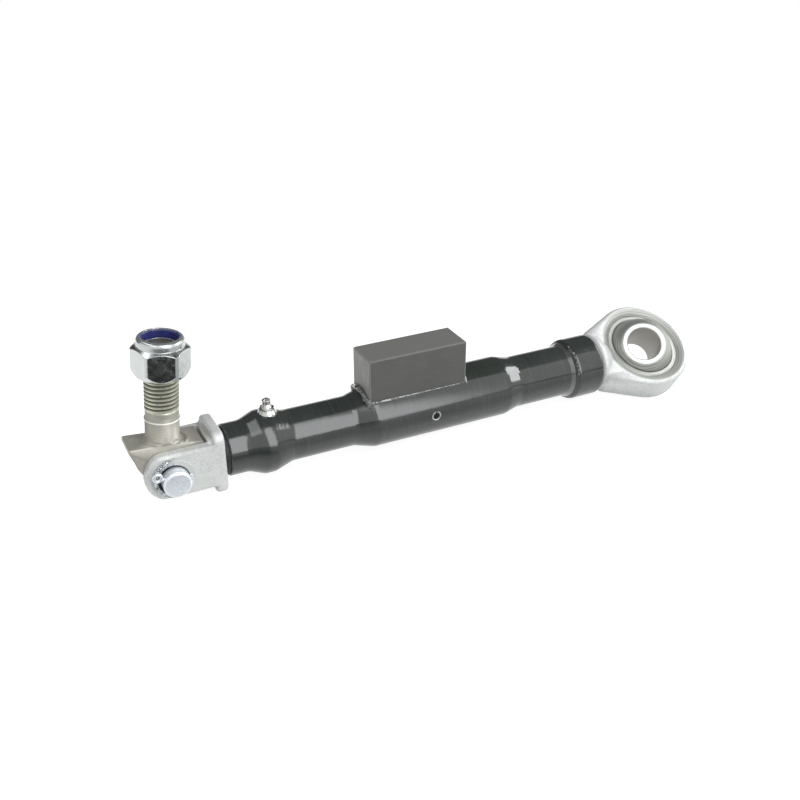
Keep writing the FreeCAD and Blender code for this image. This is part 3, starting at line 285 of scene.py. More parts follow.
def cast_zinc(name="cast_zinc", machined=None, shade=1.0):
    """Forged steel under pale dull zinc, with a turned zone round an axis where one is given, and the whole colour
    multiplied by a shade factor, a painted shade.
    """
    m = Nodes(name)
    cloud = m.noise(34, 5, 0.6)
    blotch = m.noise(170, 4, 0.65)
    scale = m.noise(900, 3, 0.6)
    colour = m.ramp(
        cloud, [(0.3, (0.60, 0.615, 0.595)), (0.5, (0.68, 0.695, 0.675)), (0.72, (0.76, 0.775, 0.76))]
    )
    colour = m.mixed(colour, (0.47, 0.48, 0.46), m.level(blotch, 0, 0.55, 0.54, 0.74))
    colour = m.mixed(colour, (0.44, 0.45, 0.43), m.level(scale, 0, 0.75, 0.5, 0.72))
    metal = 0.25
    if machined:
        across = m.along(machined)[1]
        zone = m.level(across, 1, 0, RECESS_RADIUS, RECESS_RADIUS + 0.3 * MM)
        rings = m.rings(across, 0.0019)
        turned = m.mixed((0.46, 0.465, 0.435), (0.24, 0.245, 0.225), m.level(rings, 0, 0.8, 0.2, 1))
        colour = m.mixed(colour, turned, zone)
        metal = m.level(zone, 0.25, 0.35)
    # Painted shade: the whole colour is multiplied by the shade factor.
    m.set(Base_Color=m.mixed(colour, (shade, shade, shade), 1, "MULTIPLY"), Metallic=metal)
    m.set(Roughness=m.level(scale, 0.42, 0.58, 0.3, 0.7))
    m.bumps((m.noise(130, 3), 0.00022), (m.noise(420, 3), 0.00014), (scale, 0.00009), edge=0.0008)
    return m.material


def nickel_steel():
    """Forged and turned steel under warm grey plating, with a painted highlight as a bright ring at the step."""
    m = Nodes("nickel_steel")
    cloud = m.noise(60, 4, 0.6)
    scale = m.noise(600, 3, 0.6)
    colour = m.ramp(
        cloud, [(0.3, (0.375, 0.36, 0.31)), (0.55, (0.43, 0.415, 0.36)), (0.75, (0.485, 0.47, 0.415))]
    )
    height = m.along(STUD_AXIS, STUD_FOOT)[0]
    rings = m.rings(height, 0.0012)
    shank = m.level(height, 0, 1, HEAD_TOP + 2.2 * MM, HEAD_TOP + 3 * MM)
    lined = m.math("MULTIPLY", shank, m.level(rings, 0, 0.45, 0.3, 1))
    colour = m.mixed(colour, (0.24, 0.235, 0.20), lined)
    colour = m.mixed(colour, (0.33, 0.32, 0.28), m.level(scale, 0, 0.5, 0.52, 0.72))
    from_ring = m.math("ABSOLUTE", m.math("SUBTRACT", height, STEP_HEIGHT), 0)
    # Painted highlight: a near-white ring round the shank at the step.
    painted_highlight_ring = m.level(from_ring, 0.85, 0, 0.5 * MM, 0.9 * MM)
    m.set(Base_Color=m.mixed(colour, (0.86, 0.85, 0.80), painted_highlight_ring), Metallic=0.4)
    m.set(Roughness=m.level(scale, 0.34, 0.52, 0.3, 0.7))
    turned = m.math("MULTIPLY", rings, shank)
    m.bumps((m.noise(140, 3), 0.00010), (scale, 0.00006), (turned, 0.00002), edge=0.0006)
    return m.material


def thread_steel(name, foot, axis, root, crest):
    """Rolled thread under the same plating, a little greener, with painted shade that darkens its roots."""
    m = Nodes(name)
    across = m.along(axis, foot)[1]
    cloud = m.noise(80, 3)
    colour = m.ramp(cloud, [(0.3, (0.57, 0.575, 0.47)), (0.7, (0.66, 0.665, 0.55))])
    # Painted shade: the thread's roots, nearer the axis, are darkened.
    depth = m.level(across, 1, 0, root + 0.2 * (crest - root), root + 0.75 * (crest - root))
    m.set(Base_Color=m.mixed(colour, (0.17, 0.168, 0.13), depth), Metallic=0.55)
    m.set(Roughness=m.level(m.noise(500, 2), 0.26, 0.36, 0.3, 0.7))
    m.bumps((m.noise(500, 2), 0.00001))
    return m.material


def bright_zinc(name, low, high, tint, dents=0.00003, dull_within=None, metal=1.0):
    """Bright zinc with a faint blue passivation, duller within a distance of the stud's axis."""
    m = Nodes(name)
    cloud = m.noise(70, 3)
    colour = m.ramp(cloud, [(0.3, tuple(0.92 * c for c in tint)), (0.7, tint)])
    m.set(Base_Color=colour, Metallic=metal)
    if dull_within:
        across = m.along(STUD_AXIS, STUD_FOOT)[1]
        m.set(Metallic=m.level(across, 0.78, 1, dull_within, dull_within + 0.6 * MM))
    m.set(Roughness=m.level(m.noise(260, 3), low, high, 0.3, 0.7))
    m.bumps((m.noise(120, 2), dents), edge=0.0006)
    return m.material


def washer_zinc():
    """Crinkled zinc on the washer, brightest away from the barrel, with a painted shadow as a near-black ring round
    the pin.
    """
    m = Nodes("washer_zinc")
    side = m.along((1, 0, 0))[0]
    across = m.along((0, 1, 0), (PIN_X - 0.7 * MM, 0, 0))[1]
    outer = m.level(side, 1, 0, PIN_X - 4 * MM, PIN_X + 3 * MM)
    # Painted shadow: a near-black ring on the washer round the pin.
    painted_gap_shadow = m.level(across, 1, 0, PIN_RADIUS + 1.1 * MM, PIN_RADIUS + 1.8 * MM)
    crinkle = m.noise(620, 3, 0.6, None, 1.5)
    colour = m.ramp(crinkle, [(0.40, (0.10, 0.11, 0.12)), (0.50, (0.72, 0.75, 0.76))])
    colour = m.mixed((0.60, 0.61, 0.595), colour, outer)
    m.set(Base_Color=m.mixed(colour, (0.02, 0.02, 0.02), painted_gap_shadow), Metallic=m.level(outer, 0.3, 0.9))
    m.set(Roughness=m.level(outer, 0.5, 0.2))
    m.bumps((m.math("MULTIPLY", crinkle, outer), 0.0020), edge=0.0005)
    return m.material


def race_steel():
    """The race, ground and turned round the eye's axis, with painted shade that blackens its inner rim next to the
    ball.
    """
    m = Nodes("race_steel")
    across = m.along(EYE_AXIS)[1]
    cloud = m.noise(60, 4)
    rings = m.rings(across, 0.0018)
    colour = m.ramp(cloud, [(0.3, (0.40, 0.405, 0.375)), (0.7, (0.48, 0.485, 0.455))])
    colour = m.mixed(colour, (0.20, 0.205, 0.185), m.level(rings, 0, 0.75, 0.2, 1))
    # Painted shade: the race goes near black inside its inner radius, where it meets the ball.
    painted_mouth_shade = m.level(across, 1, 0, MOUTH_RADIUS, MOUTH_RADIUS + 0.3 * MM)
    m.set(Base_Color=m.mixed(colour, (0.02, 0.02, 0.02), painted_mouth_shade), Metallic=0.35)
    m.set(Roughness=m.level(cloud, 0.34, 0.48, 0.3, 0.7))
    m.bumps((rings, 0.00002), edge=0.0004)
    return m.material


def ball_steel():
    """The ball: grey turned sphere, bright faced ends and a duller bore."""
    m = Nodes("ball_steel")
    height, across = m.along(BALL_AXIS)
    cloud = m.noise(60, 4)
    rings = m.rings(height, 0.0021)
    faced = m.rings(across, 0.0017)
    sphere = m.ramp(cloud, [(0.3, (0.40, 0.41, 0.375)), (0.7, (0.48, 0.49, 0.45))])
    sphere = m.mixed(sphere, (0.19, 0.20, 0.175), m.level(rings, 0, 0.8, 0.2, 1))
    end = m.level(m.math("ABSOLUTE", height, 0), 0, 1, BALL_HALF_WIDTH, BALL_HALF_WIDTH + 0.4 * MM)
    bore = m.level(across, 1, 0, BORE_RADIUS, BORE_RADIUS + 0.3 * MM)
    bright = m.mixed((0.62, 0.63, 0.605), (0.42, 0.43, 0.40), m.level(faced, 0, 0.8, 0.3, 1))
    colour = m.mixed(sphere, bright, end)
    colour = m.mixed(colour, (0.40, 0.388, 0.355), bore)
    m.set(Base_Color=colour, Metallic=m.level(end, 0.6, 0.35))
    m.set(Roughness=m.math("ADD", m.level(end, 0.36, 0.28), m.math("MULTIPLY", bore, 0.12)))
    m.bumps((rings, 0.000015), edge=0.0007)
    return m.material


def soft_black():
    """Black rubber."""
    m = Nodes("seal_rubber")
    m.set(Base_Color=m.ramp(m.noise(300, 3), [(0.3, (0.012, 0.012, 0.012)), (0.7, (0.022, 0.022, 0.022))]))
    m.set(Roughness=m.level(m.noise(400, 2), 0.5, 0.7, 0.3, 0.7))
    m.bumps((m.noise(700, 2), 0.00004), edge=0.0003)
    return m.material


def blue_nylon():
    """Deep blue moulded nylon."""
    m = Nodes("blue_nylon")
    m.set(Base_Color=m.ramp(m.noise(150, 3), [(0.3, (0.022, 0.028, 0.15)), (0.7, (0.035, 0.042, 0.21))]))
    m.set(Roughness=m.level(m.noise(300, 2), 0.28, 0.42, 0.3, 0.7))
    m.bumps((m.noise(400, 2), 0.00004), edge=0.0003)
    return m.material


PAINT = barrel_paint()
BLOCK = block_paint()
WELD = weld_paint()
CAST = cast_zinc()
# A darker copy of the cast zinc: its 0.90 shade is painted shade on the eye.
EYE_CAST = cast_zinc("eye_cast", EYE_AXIS, 0.90)
NICKEL = nickel_steel()
THREAD = thread_steel("thread_steel", STUD_FOOT, STUD_AXIS, SHANK_RADIUS - STUD_THREAD_DEPTH, SHANK_RADIUS)
STEM_THREAD = thread_steel("stem_steel", (0, 0, 0), (1, 0, 0), STEM_RADIUS - STEM_THREAD_DEPTH, STEM_RADIUS)
ZINC = bright_zinc("bright_zinc", 0.17, 0.30, (0.60, 0.63, 0.62), 0.00006, NUT_COLLAR_RADIUS)
PIN_ZINC = bright_zinc("pin_zinc", 0.24, 0.34, (0.84, 0.885, 0.93), 0.00001, metal=0.55)
WASHER_ZINC = washer_zinc()
NIPPLE = bright_zinc("nipple_steel", 0.2, 0.34, (0.60, 0.61, 0.58))
RUBBER = soft_black()
NYLON = blue_nylon()
SPRING = bright_zinc("spring_steel", 0.3, 0.45, (0.66, 0.67, 0.64))
RACE = race_steel()
BALL = ball_steel()

CAD_LOOKS = {
    "barrel_tube": PAINT,
    "end_collar": PAINT,
    "collar_weld": WELD,
    "weight_block": BLOCK,
    "grease_nipple": NIPPLE,
    "nipple_ball": SPRING,
    "stop_pin": SPRING,
    "left_seal": RUBBER,
    "right_seal": RUBBER,
    "yoke_fork": CAST,
    "clevis_pin": PIN_ZINC,
    "pin_washer": WASHER_ZINC,
    "split_pin": PIN_ZINC,
    "lock_nut": ZINC,
    "nut_insert": NYLON,
    "ball_eye": EYE_CAST,
    "bearing_race": RACE,
    "ball": BALL,
}


def dress(item, material):
    item.data.materials.clear()
    item.data.materials.append(material)


for node_name, look in CAD_LOOKS.items():
    dress(nodes[node_name], look)


# ---- meshes ----

def new_piece(name, bm, material, body):
    """A smooth piece from a bmesh, riding on a body."""
    mesh = bpy.data.meshes.new(name)
    bm.to_mesh(mesh)
    bm.free()
    for face in mesh.polygons:
        face.use_smooth = True
    mesh.set_sharp_from_angle(angle=math.radians(35))
    item = bpy.data.objects.new(name, mesh)
    bpy.context.scene.collection.objects.link(item)
    mesh.materials.append(material)
    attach(item, body)
    return item


def cut_copy(node, point, direction):
    """A copy of a CAD node's mesh without what lies past a plane, with the cut closed."""
    bm = bmesh.new()
    bm.from_mesh(nodes[node].data)
    bmesh.ops.remove_doubles(bm, verts=bm.verts, dist=1e-6)
    cut = bmesh.ops.bisect_plane(
        bm,
        geom=list(bm.verts) + list(bm.edges) + list(bm.faces),
        plane_co=point,
        plane_no=direction,
        clear_outer=True,
    )
    edges = [item for item in cut["geom_cut"] if isinstance(item, bmesh.types.BMEdge)]
    bmesh.ops.holes_fill(bm, edges=edges)
    return bm


# One pitch of a thread: share of the pitch and share of the depth.
THREAD_FORM = [
    (0.0, 0.0), (0.11, 0.0), (0.25, 0.48), (0.40, 0.95), (0.50, 1.0), (0.60, 0.95), (0.75, 0.48), (0.89, 0.0)
]
THREAD_SIDES = 72
THREAD_LAP = 0.2 * MM


def add_thread(bm, foot, axis, length, crest, depth, chamfer, plain):
    """A screw thread with a chamfered end that grows out of a plain shank."""
    turn = Vector((0, 0, 1)).rotation_difference(axis).to_matrix()
    steps = len(THREAD_FORM)
    turns = int(length / THREAD_PITCH) + 2
    rows = []
    for row in range(-steps, turns * steps):
        share, deep = THREAD_FORM[row % steps]
        ring = []
        for side in range(THREAD_SIDES):
            angle = 2 * math.pi * side / THREAD_SIDES
            raw = (row // steps + share + side / THREAD_SIDES) * THREAD_PITCH
            height = min(max(raw, 0.0), length)
            fade = min(1.0, height / THREAD_PITCH)
            radius = crest - depth * deep * fade
            if height < THREAD_PITCH / 3:
                radius = min(radius, plain)
            radius = min(radius, crest - max(0.0, height - (length - chamfer)))
            point = Vector((radius * math.cos(angle), radius * math.sin(angle), height))
            ring.append(bm.verts.new(foot + turn @ point))
        rows.append(ring)
    last = len(rows)
    for row in range(last - 1):
        for side in range(THREAD_SIDES):
            following = (side + 1) % THREAD_SIDES
            lift = steps if following == 0 else 0
            if row + 1 + lift >= last:
                continue
            lower, upper = rows[row + lift][following], rows[row + 1 + lift][following]
            bm.faces.new([rows[row][side], lower, upper, rows[row + 1][side]])
    bmesh.ops.remove_doubles(bm, verts=[v for ring in rows for v in ring], dist=2e-6)


def close_end(bm, centre, axis, radius):
    """A flat disc with a shallow centre mark that closes a shank's end."""
    turn = Vector((0, 0, 1)).rotation_difference(axis).to_matrix()
    rings = [(radius, -0.0002), (radius * 0.6, 0.0), (radius * 0.16, 0.0), (radius * 0.02, -0.0006)]
    loops = []
    for reach, height in rings:
        loop = []
        for side in range(THREAD_SIDES):
            angle = 2 * math.pi * side / THREAD_SIDES
            point = Vector((reach * math.cos(angle), reach * math.sin(angle), height))
            loop.append(bm.verts.new(centre + turn @ point))
        loops.append(loop)
    for outer, inner in zip(loops, loops[1:]):
        for side in range(THREAD_SIDES):
            following = (side + 1) % THREAD_SIDES
            bm.faces.new([outer[side], outer[following], inner[following], inner[side]])
    bm.faces.new(loops[-1])


def lathe(bm, foot, axis, profile, sides=64, shape=None):
    """A turned skin through a profile of radius and height, with each point shaped at will."""
    turn = Vector((0, 0, 1)).rotation_difference(axis).to_matrix()
    rings = []
    for radius, height in profile:
        ring = []
        for side in range(sides):
            angle = 2 * math.pi * side / sides
            point = Vector((radius * math.cos(angle), radius * math.sin(angle), height))
            if shape:
                point = shape(point)
            ring.append(bm.verts.new(foot + turn @ point))
        rings.append(ring)
    for lower, upper in zip(rings, rings[1:]):
        for side in range(sides):
            following = (side + 1) % sides
            bm.faces.new([lower[side], lower[following], upper[following], upper[side]])


def hollow_round(radius, reach, steps=8):
    """The profile of a concave fillet between a shank and a flat."""
    points = []
    for step in range(steps + 1):
        angle = math.pi / 2 * step / steps
        points.append((radius + reach * (1 - math.sin(angle)), reach * (1 - math.cos(angle))))
    return points


def foot_round():
    """The forged hollow between the stud's shank and the head, and the flash beside it."""
    bm = bmesh.new()
    top = STUD_FOOT + STUD_AXIS * HEAD_TOP
    limit = HEAD_WIDTH / 2 - 0.15 * MM

    def within_head(point):
        lump = 1 + 0.05 * noise.noise(point * 160)
        return Vector((point.x * lump, min(max(point.y, -limit), limit), point.z - 0.02 * MM))

    lathe(bm, top, STUD_AXIS, hollow_round(SHANK_RADIUS, 2.6 * MM), shape=within_head)
    step = [(11.7, 38.9), (12.2, 38.6), (12.5, 38.1), (12.5, 37.6), (11.9, 37.1)]
    lathe(bm, STUD_FOOT, STUD_AXIS, [(radius * MM, height * MM) for radius, height in step])
    across = Vector((STUD_AXIS.z, 0, -STUD_AXIS.x))
    ridge = []
    for index in range(25):
        share = index / 24
        out = (13.4 + 3.2 * math.sin(math.pi * share)) * MM
        ridge.append(top + across * out + Vector((0, (-10.8 + 15 * share) * MM, 0)))
    bead(bm, ridge, 1.5 * MM, 7.0, up=lambda point: STUD_AXIS)
    bmesh.ops.recalc_face_normals(bm, faces=bm.faces)
    new_piece("stud_foot", bm, NICKEL, "stud")


def swivel_stud():
    """The forged head with its shank, and the rolled thread above it."""
    head = cut_copy("swivel_stud", STUD_FOOT + STUD_AXIS * THREAD_START, STUD_AXIS)
    piece = new_piece("stud_head", head, NICKEL, "stud")
    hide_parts("swivel_stud")
    bm = bmesh.new()
    foot = STUD_FOOT + STUD_AXIS * (THREAD_START - THREAD_LAP)
    length = STUD_END - THREAD_START + THREAD_LAP
    add_thread(bm, foot, STUD_AXIS, length, SHANK_RADIUS, STUD_THREAD_DEPTH, 1.9 * MM, 11.6 * MM)
    close_end(bm, STUD_FOOT + STUD_AXIS * STUD_END, STUD_AXIS, 10.1 * MM)
    new_piece("stud_thread", bm, THREAD, "stud")


def screwed_end(node, name, body, look, start_x, end_x):
    """A forged end whose stem carries its thread."""
    direction = Vector((1 if end_x > start_x else -1, 0, 0))
    forging = cut_copy(node, Vector((start_x, 0, 0)), direction)
    piece = new_piece(name, forging, look, body)
    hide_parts(node)
    bm = bmesh.new()
    start = Vector((start_x, 0, 0)) - direction * THREAD_LAP
    length = abs(end_x - start_x) + THREAD_LAP
    add_thread(bm, start, direction, length, STEM_RADIUS, STEM_THREAD_DEPTH, 2 * MM, 13.3 * MM)
    close_end(bm, Vector((end_x, 0, 0)), direction, 11.6 * MM)
    new_piece(name + "_thread", bm, STEM_THREAD, body)


def bead(bm, path, radius, seed, up, lumps=0.3, grain=90):
    """A weld bead: a smooth lumpy tube along a path, squashed a little on its way up."""
    sides = 16
    squash = 0.8
    count = len(path)
    rings = []
    for index, point in enumerate(path):
        along = (path[min(index + 1, count - 1)] - path[max(index - 1, 0)]).normalized()
        out = up(point)
        out = (out - along * out.dot(along)).normalized()
        side_way = along.cross(out)
        swell = noise.noise(point * grain + Vector((seed, 0, 0))) + 0.5 * noise.noise(point * 3 * grain)
        taper = min(1.0, 0.3 + min(index, count - 1 - index) / (0.16 * count))
        grow = radius * taper * (1 + lumps * swell)
        ring = []
        for step in range(sides):
            angle = 2 * math.pi * step / sides
            offset = side_way * math.cos(angle) * grow + out * math.sin(angle) * grow * squash
            ring.append(bm.verts.new(point + offset))
        rings.append(ring)
    for first, second in zip(rings, rings[1:]):
        for step in range(sides):
            following = (step + 1) % sides
            bm.faces.new([first[step], first[following], second[following], second[step]])
    bm.faces.new(list(reversed(rings[0])))
    bm.faces.new(rings[-1])


def from_axis(point):
    """The way out from the barrel's axis."""
    return Vector((0, point.y, point.z)).normalized()


def lump(bm, centre, size, seed):
    """A drop of weld metal with its reach along each axis."""
    drop = bmesh.ops.create_icosphere(bm, subdivisions=4, radius=1)
    for vert in drop["verts"]:
        swell = 1 + 0.2 * noise.noise(vert.co * 1.7 + Vector((seed, 0, 0)))
        vert.co = centre + Vector([part * reach * swell for part, reach in zip(vert.co, size)])


def collar_seam():
    """Drops of weld metal that stand out of the seam behind the collar."""
    bm = bmesh.new()
    drops = (
        (16, 0.0, 0.7), (24, 0.3, 1.1), (31, -0.2, 0.8), (39, 0.2, 1.2),
        (48, -0.1, 0.8), (57, 0.2, 0.9), (74, 0.0, 0.8),
    )
    for index, (turn, back, size) in enumerate(drops):
        angle = math.radians(turn)
        out = Vector((0, -math.cos(angle), math.sin(angle)))
        centre = Vector((COLLAR_BACK_X + (back + 1.0) * MM, 0, 0)) + out * (COLLAR_RADIUS - 0.5 * MM)
        lump(bm, centre, (size * MM, 1.5 * size * MM, 1.5 * size * MM), index)
    bmesh.ops.recalc_face_normals(bm, faces=bm.faces)
    new_piece("collar_weld_drops", bm, WELD, "barrel")


def straight(start, end, step=0.5 * MM):
    count = max(4, int((end - start).length / step))
    return [start.lerp(end, index / count) for index in range(count + 1)]


def block_weld():
    """Low beads round the block's foot, heavy and drawn down at the fork end."""
    foot_z = math.sqrt(TUBE_RADIUS**2 - (BLOCK_WIDTH / 2) ** 2)
    left = BLOCK_X - BLOCK_LENGTH / 2
    right = BLOCK_X + BLOCK_LENGTH / 2
    spread = math.asin(BLOCK_WIDTH / 2 / TUBE_RADIUS)
    bm = bmesh.new()
    for side in (-1, 1):
        edge = side * (BLOCK_WIDTH / 2 - 0.1 * MM)
        heavy = (left + 1 * MM, left + 36 * MM, 1.7 * MM, 0.6)
        thin = (left + 30 * MM, right - 1 * MM, 0.95 * MM, 0.3)
        for start, end, size, rough in (heavy, thin):
            path = straight(Vector((start, edge, foot_z)), Vector((end, edge, foot_z)))
            bead(bm, path, size, 5.0 + side, up=from_axis, lumps=rough, grain=170)
    for end, size, seed, reach in ((left, 2.5 * MM, 9.0, -1), (right, 1.4 * MM, 12.0, 1)):
        path = []
        count = 70
        for index in range(count + 1):
            angle = -spread * 1.08 + 2.16 * spread * index / count
            along = end + reach * size * 0.35
            path.append(Vector((along, TUBE_RADIUS * math.sin(angle), TUBE_RADIUS * math.cos(angle))))
        bead(bm, path, size, seed, up=from_axis, lumps=0.5, grain=130)
    drops = (
        (-1.0, -1.2, 0.9, (2.2, 2.4, 2.6)),
        (-0.2, 0.1, -1.6, (2.2, 1.3, 3.0)),
        (1.8, 0.2, -0.4, (2.6, 1.0, 1.8)),
        (-2.2, -4.6, 1.8, (2.0, 2.6, 1.5)),
        (-1.6, -8.6, 3.0, (1.6, 2.4, 1.3)),
    )
    for side in (-1, 1):
        for index, (along, out, rise, size) in enumerate(drops):
            place = Vector((left + along * MM, side * (BLOCK_WIDTH / 2 + out * MM), foot_z + rise * MM))
            lump(bm, place, [reach * MM for reach in size], index * 3.0 + side)
    for index in range(26):
        share = (index * 0.618034) % 1
        reach = 0.35 + 0.25 * ((index * 0.7548777) % 1)
        centre = Vector((left + (4 + 52 * share) * MM, -(BLOCK_WIDTH / 2 + 0.75 * MM), foot_z - (0.6 + share) * MM))
        lump(bm, centre, (1.6 * reach * MM, reach * MM, reach * MM), index)
    bmesh.ops.recalc_face_normals(bm, faces=bm.faces)
    piece = new_piece("block_weld_bead", bm, WELD, "barrel")
    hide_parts("block_weld")


def nipple_skirt():
    """The flared foot of the grease nipple on the bulge."""
    corners = [Vector(corner) for corner in nodes["grease_nipple"].bound_box]
    centre = sum(corners, Vector()) / 8
    bm = bmesh.new()
    profile = [(7.3, -3.4), (7.4, -1.6), (7.1, -0.6), (6.4, 0.3), (5.9, 1.1), (5.5, 1.9), (5.1, 2.0)]
    foot = Vector((centre.x, 0, TUBE_RADIUS))
    lathe(bm, foot, Vector((0, 0, 1)), [(radius * MM, height * MM) for radius, height in profile])
    bmesh.ops.recalc_face_normals(bm, faces=bm.faces)
    new_piece("nipple_skirt", bm, NIPPLE, "barrel")


swivel_stud()
screwed_end("yoke_fork", "fork_forging", "fork", CAST, PIN_X + 38.9 * MM, PIN_X + 199.1 * MM)
screwed_end("ball_eye", "eye_forging", "eye", EYE_CAST, -52.0 * MM, -204.4 * MM)
collar_seam()
block_weld()
foot_round()
nipple_skirt()


# ---- stage, lights and camera ----

def shown(tree):
    """One where a ray comes from the camera, a gloss or a clear piece."""
    rays = tree.nodes.new("ShaderNodeLightPath")
    total = rays.outputs["Is Camera Ray"]
    for name in ("Is Glossy Ray", "Is Transmission Ray"):
        node = tree.nodes.new("ShaderNodeMath")
        node.operation = "MAXIMUM"
        tree.links.new(total, node.inputs[0])
        tree.links.new(rays.outputs[name], node.inputs[1])
        total = node.outputs[0]
    return total


def floor_material():
    """A pale floor that shows white and keeps a faint shadow."""
    material = bpy.data.materials.new("floor")
    material.use_nodes = True
    tree = material.node_tree
    tree.nodes.clear()
    out = tree.nodes.new("ShaderNodeOutputMaterial")
    pale = tree.nodes.new("ShaderNodeBsdfDiffuse")
    pale.inputs["Color"].default_value = (0.8, 0.8, 0.8, 1)
    faint = tree.nodes.new("ShaderNodeBsdfDiffuse")
    faint.inputs["Color"].default_value = (0.36, 0.36, 0.36, 1)
    glow = tree.nodes.new("ShaderNodeEmission")
    glow.inputs["Strength"].default_value = 0.885
    both = tree.nodes.new("ShaderNodeAddShader")
    tree.links.new(faint.outputs[0], both.inputs[0])
    tree.links.new(glow.outputs[0], both.inputs[1])
    mix = tree.nodes.new("ShaderNodeMixShader")
    tree.links.new(shown(tree), mix.inputs[0])
    tree.links.new(pale.outputs[0], mix.inputs[1])
    tree.links.new(both.outputs[0], mix.inputs[2])
    tree.links.new(mix.outputs[0], out.inputs["Surface"])
    return material


def card(name, corners, material):
    """A flat stage piece with given corners."""
    mesh = bpy.data.meshes.new(name)
    mesh.from_pydata([Vector(corner) for corner in corners], [], [range(len(corners))])
    item = bpy.data.objects.new(name, mesh)
    bpy.context.scene.collection.objects.link(item)
    mesh.materials.append(material)
    return item


def flag(name, corners, shade=0.02, fade=0.0):
    """A dark flag that only glossy surfaces see, clear towards its rims by the share given."""
    material = bpy.data.materials.new(name)
    material.use_nodes = True
    tree = material.node_tree
    shader = tree.nodes["Principled BSDF"]
    shader.inputs["Base Color"].default_value = (shade, shade, shade, 1)
    shader.inputs["Specular IOR Level"].default_value = 0
    if fade:
        place = tree.nodes.new("ShaderNodeTexCoord")
        split = tree.nodes.new("ShaderNodeSeparateXYZ")
        tree.links.new(place.outputs["Generated"], split.inputs[0])
        total = None
        for axis in (0, 1):
            near = tree.nodes.new("ShaderNodeMath")
            near.operation = "PINGPONG"
            near.inputs[1].default_value = 0.5
            tree.links.new(split.outputs[axis], near.inputs[0])
            soft = tree.nodes.new("ShaderNodeMapRange")
            soft.interpolation_type = "SMOOTHSTEP"
            soft.inputs["From Max"].default_value = fade
            tree.links.new(near.outputs[0], soft.inputs["Value"])
            if total:
                both = tree.nodes.new("ShaderNodeMath")
                both.operation = "MULTIPLY"
                tree.links.new(total, both.inputs[0])
                tree.links.new(soft.outputs["Result"], both.inputs[1])
                total = both.outputs[0]
            else:
                total = soft.outputs["Result"]
        tree.links.new(total, shader.inputs["Alpha"])
    item = card(name, corners, material)
    item.visible_camera = False
    item.visible_diffuse = False
    item.visible_shadow = False
    return item


def flat(left, front, right, back, height):
    """The corners of a level rectangle."""
    return [(left, front, height), (right, front, height), (right, back, height), (left, back, height)]

def upright(depth, low, high, reach=2.4):
    """The corners of a rectangle that stands across the scene."""
    return [(-reach, depth, low), (reach, depth, low), (reach, depth, high), (-reach, depth, high)]

card("floor", flat(-2.2, -1.6, 2.0, 2.2, FLOOR_Z), floor_material())
flag("front_flag", flat(-0.74, -0.66, -0.28, -0.06, FLOOR_Z + 1 * MM), fade=0.12)
flag("floor_flag", flat(-0.55, -0.85, 0.25, 0.0, FLOOR_Z + 0.5 * MM), shade=0.5, fade=0.1)
flag("top_flag", flat(-2.4, -0.5, 2.4, 1.3, 1.75))
flag("back_flag", upright(1.3, 0.1, 1.75), shade=0.09)
flag("low_flag", upright(-1.5, -0.03, 0.16))

def make_world():
    """A white surround for what shows it, and a plain soft light for the rest."""
    world = bpy.data.worlds.new("studio")
    world.use_nodes = True
    tree = world.node_tree
    tree.nodes.clear()
    out = tree.nodes.new("ShaderNodeOutputWorld")
    soft = tree.nodes.new("ShaderNodeBackground")
    soft.inputs["Color"].default_value = (1, 1, 1, 1)
    soft.inputs["Strength"].default_value = 0.30
    white = tree.nodes.new("ShaderNodeBackground")
    white.inputs["Color"].default_value = (1, 1, 1, 1)
    white.inputs["Strength"].default_value = 1.0
    mix = tree.nodes.new("ShaderNodeMixShader")
    tree.links.new(shown(tree), mix.inputs[0])
    tree.links.new(soft.outputs[0], mix.inputs[1])
    tree.links.new(white.outputs[0], mix.inputs[2])
    tree.links.new(mix.outputs[0], out.inputs["Surface"])
    bpy.context.scene.world = world


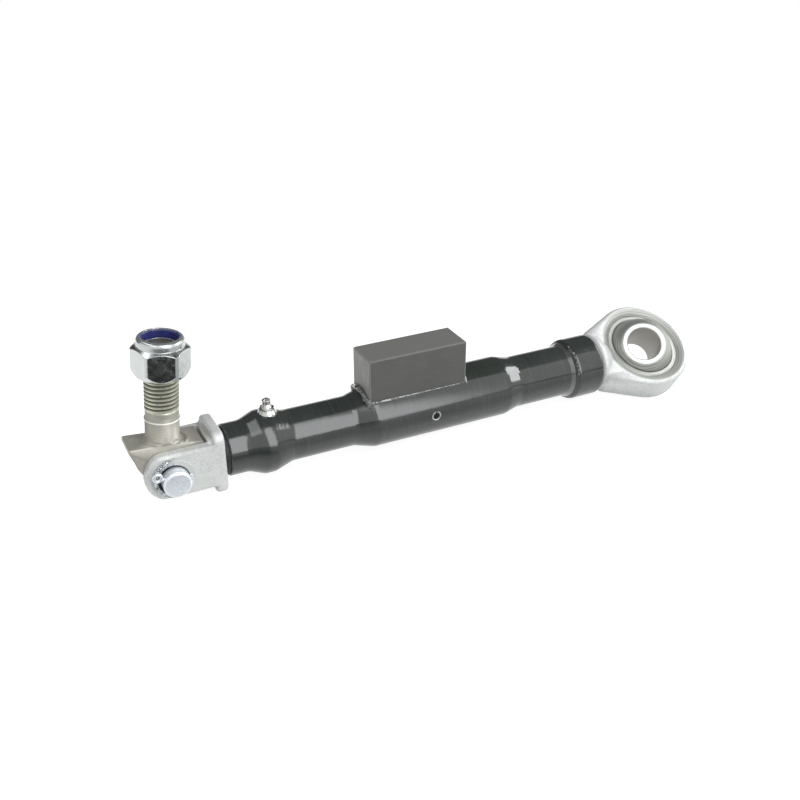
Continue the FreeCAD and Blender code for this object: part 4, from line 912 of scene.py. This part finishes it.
def lamp(name, place, aim, width, height, power, roll=0.0):
    """An area lamp aimed at a point and rolled about that line."""
    data = bpy.data.lights.new(name, "AREA")
    data.shape = "RECTANGLE"
    data.size = width
    data.size_y = height
    data.energy = power
    data.color = (0.96, 0.975, 1.0)
    item = bpy.data.objects.new(name, data)
    item.location = place
    item.rotation_mode = "QUATERNION"
    facing = (Vector(aim) - Vector(place)).to_track_quat("-Z", "Y")
    item.rotation_quaternion = facing @ Quaternion((0, 0, 1), roll)
    item.visible_camera = False
    bpy.context.scene.collection.objects.link(item)
    return item


make_world()

# A tall light box in front, turned a little to the eye's side, that fades at its right end.
BOX_ELEVATION = math.radians(33)
BOX_FRONT = Vector((0.371, -0.928, 0))
BOX_SIDE = Vector((0.928, 0.371, 0))
BOX_WAY = BOX_FRONT * math.cos(BOX_ELEVATION) + Vector((0, 0, math.sin(BOX_ELEVATION)))
BOX_HEIGHT = 1.74
BOX_DISTANCE = 1.245
for box_name, box_start, box_end, radiance in (
    ("key", -0.575, 0.075, 3.5),
    ("key_edge", 0.075, 0.105, 2.6),
    ("key_fade", 0.105, 0.135, 1.7),
    ("key_last", 0.135, 0.17, 0.8),
):
    box_width = box_end - box_start
    aim = Vector((-0.2, 0, 0.1)) + BOX_SIDE * (box_start + box_end) / 2
    power = radiance * math.pi * box_width * BOX_HEIGHT
    lamp(box_name, aim + BOX_DISTANCE * BOX_WAY, aim, box_width, BOX_HEIGHT, power)
lamp("right", (0.595, -0.125, 0.42), (-0.2, 0, 0.03), 0.70, 0.18, 2.9, math.radians(30))
lamp("right_glint", (0.54, -0.12, 0.66), (-0.33, 0, 0), 0.32, 0.09, 1.1, math.radians(20))
lamp("left_fill", (-0.87, 0.05, 1.06), (-0.35, 0, 0), 1.35, 0.22, 2.6)
top = lamp("top_fill", (-0.2, 0.1, 1.55), (-0.2, 0, 0), 1.6, 1.0, 5.0)
top.visible_glossy = False

camera_data = bpy.data.cameras.new("camera")
camera_data.sensor_width = 36
camera_data.lens = 45.9
camera = bpy.data.objects.new("camera", camera_data)
camera.location = (-0.5382, -0.6265, 0.3859)
azimuth = math.radians(-26.17)
elevation = math.radians(28.48)
back = Vector((
    math.sin(azimuth) * math.cos(elevation),
    -math.cos(azimuth) * math.cos(elevation),
    math.sin(elevation),
))
camera.rotation_mode = "QUATERNION"
camera.rotation_quaternion = (-back).to_track_quat("-Z", "Y")
bpy.context.scene.collection.objects.link(camera)
bpy.context.scene.camera = camera
bpy.context.scene.view_settings.view_transform = "Standard"
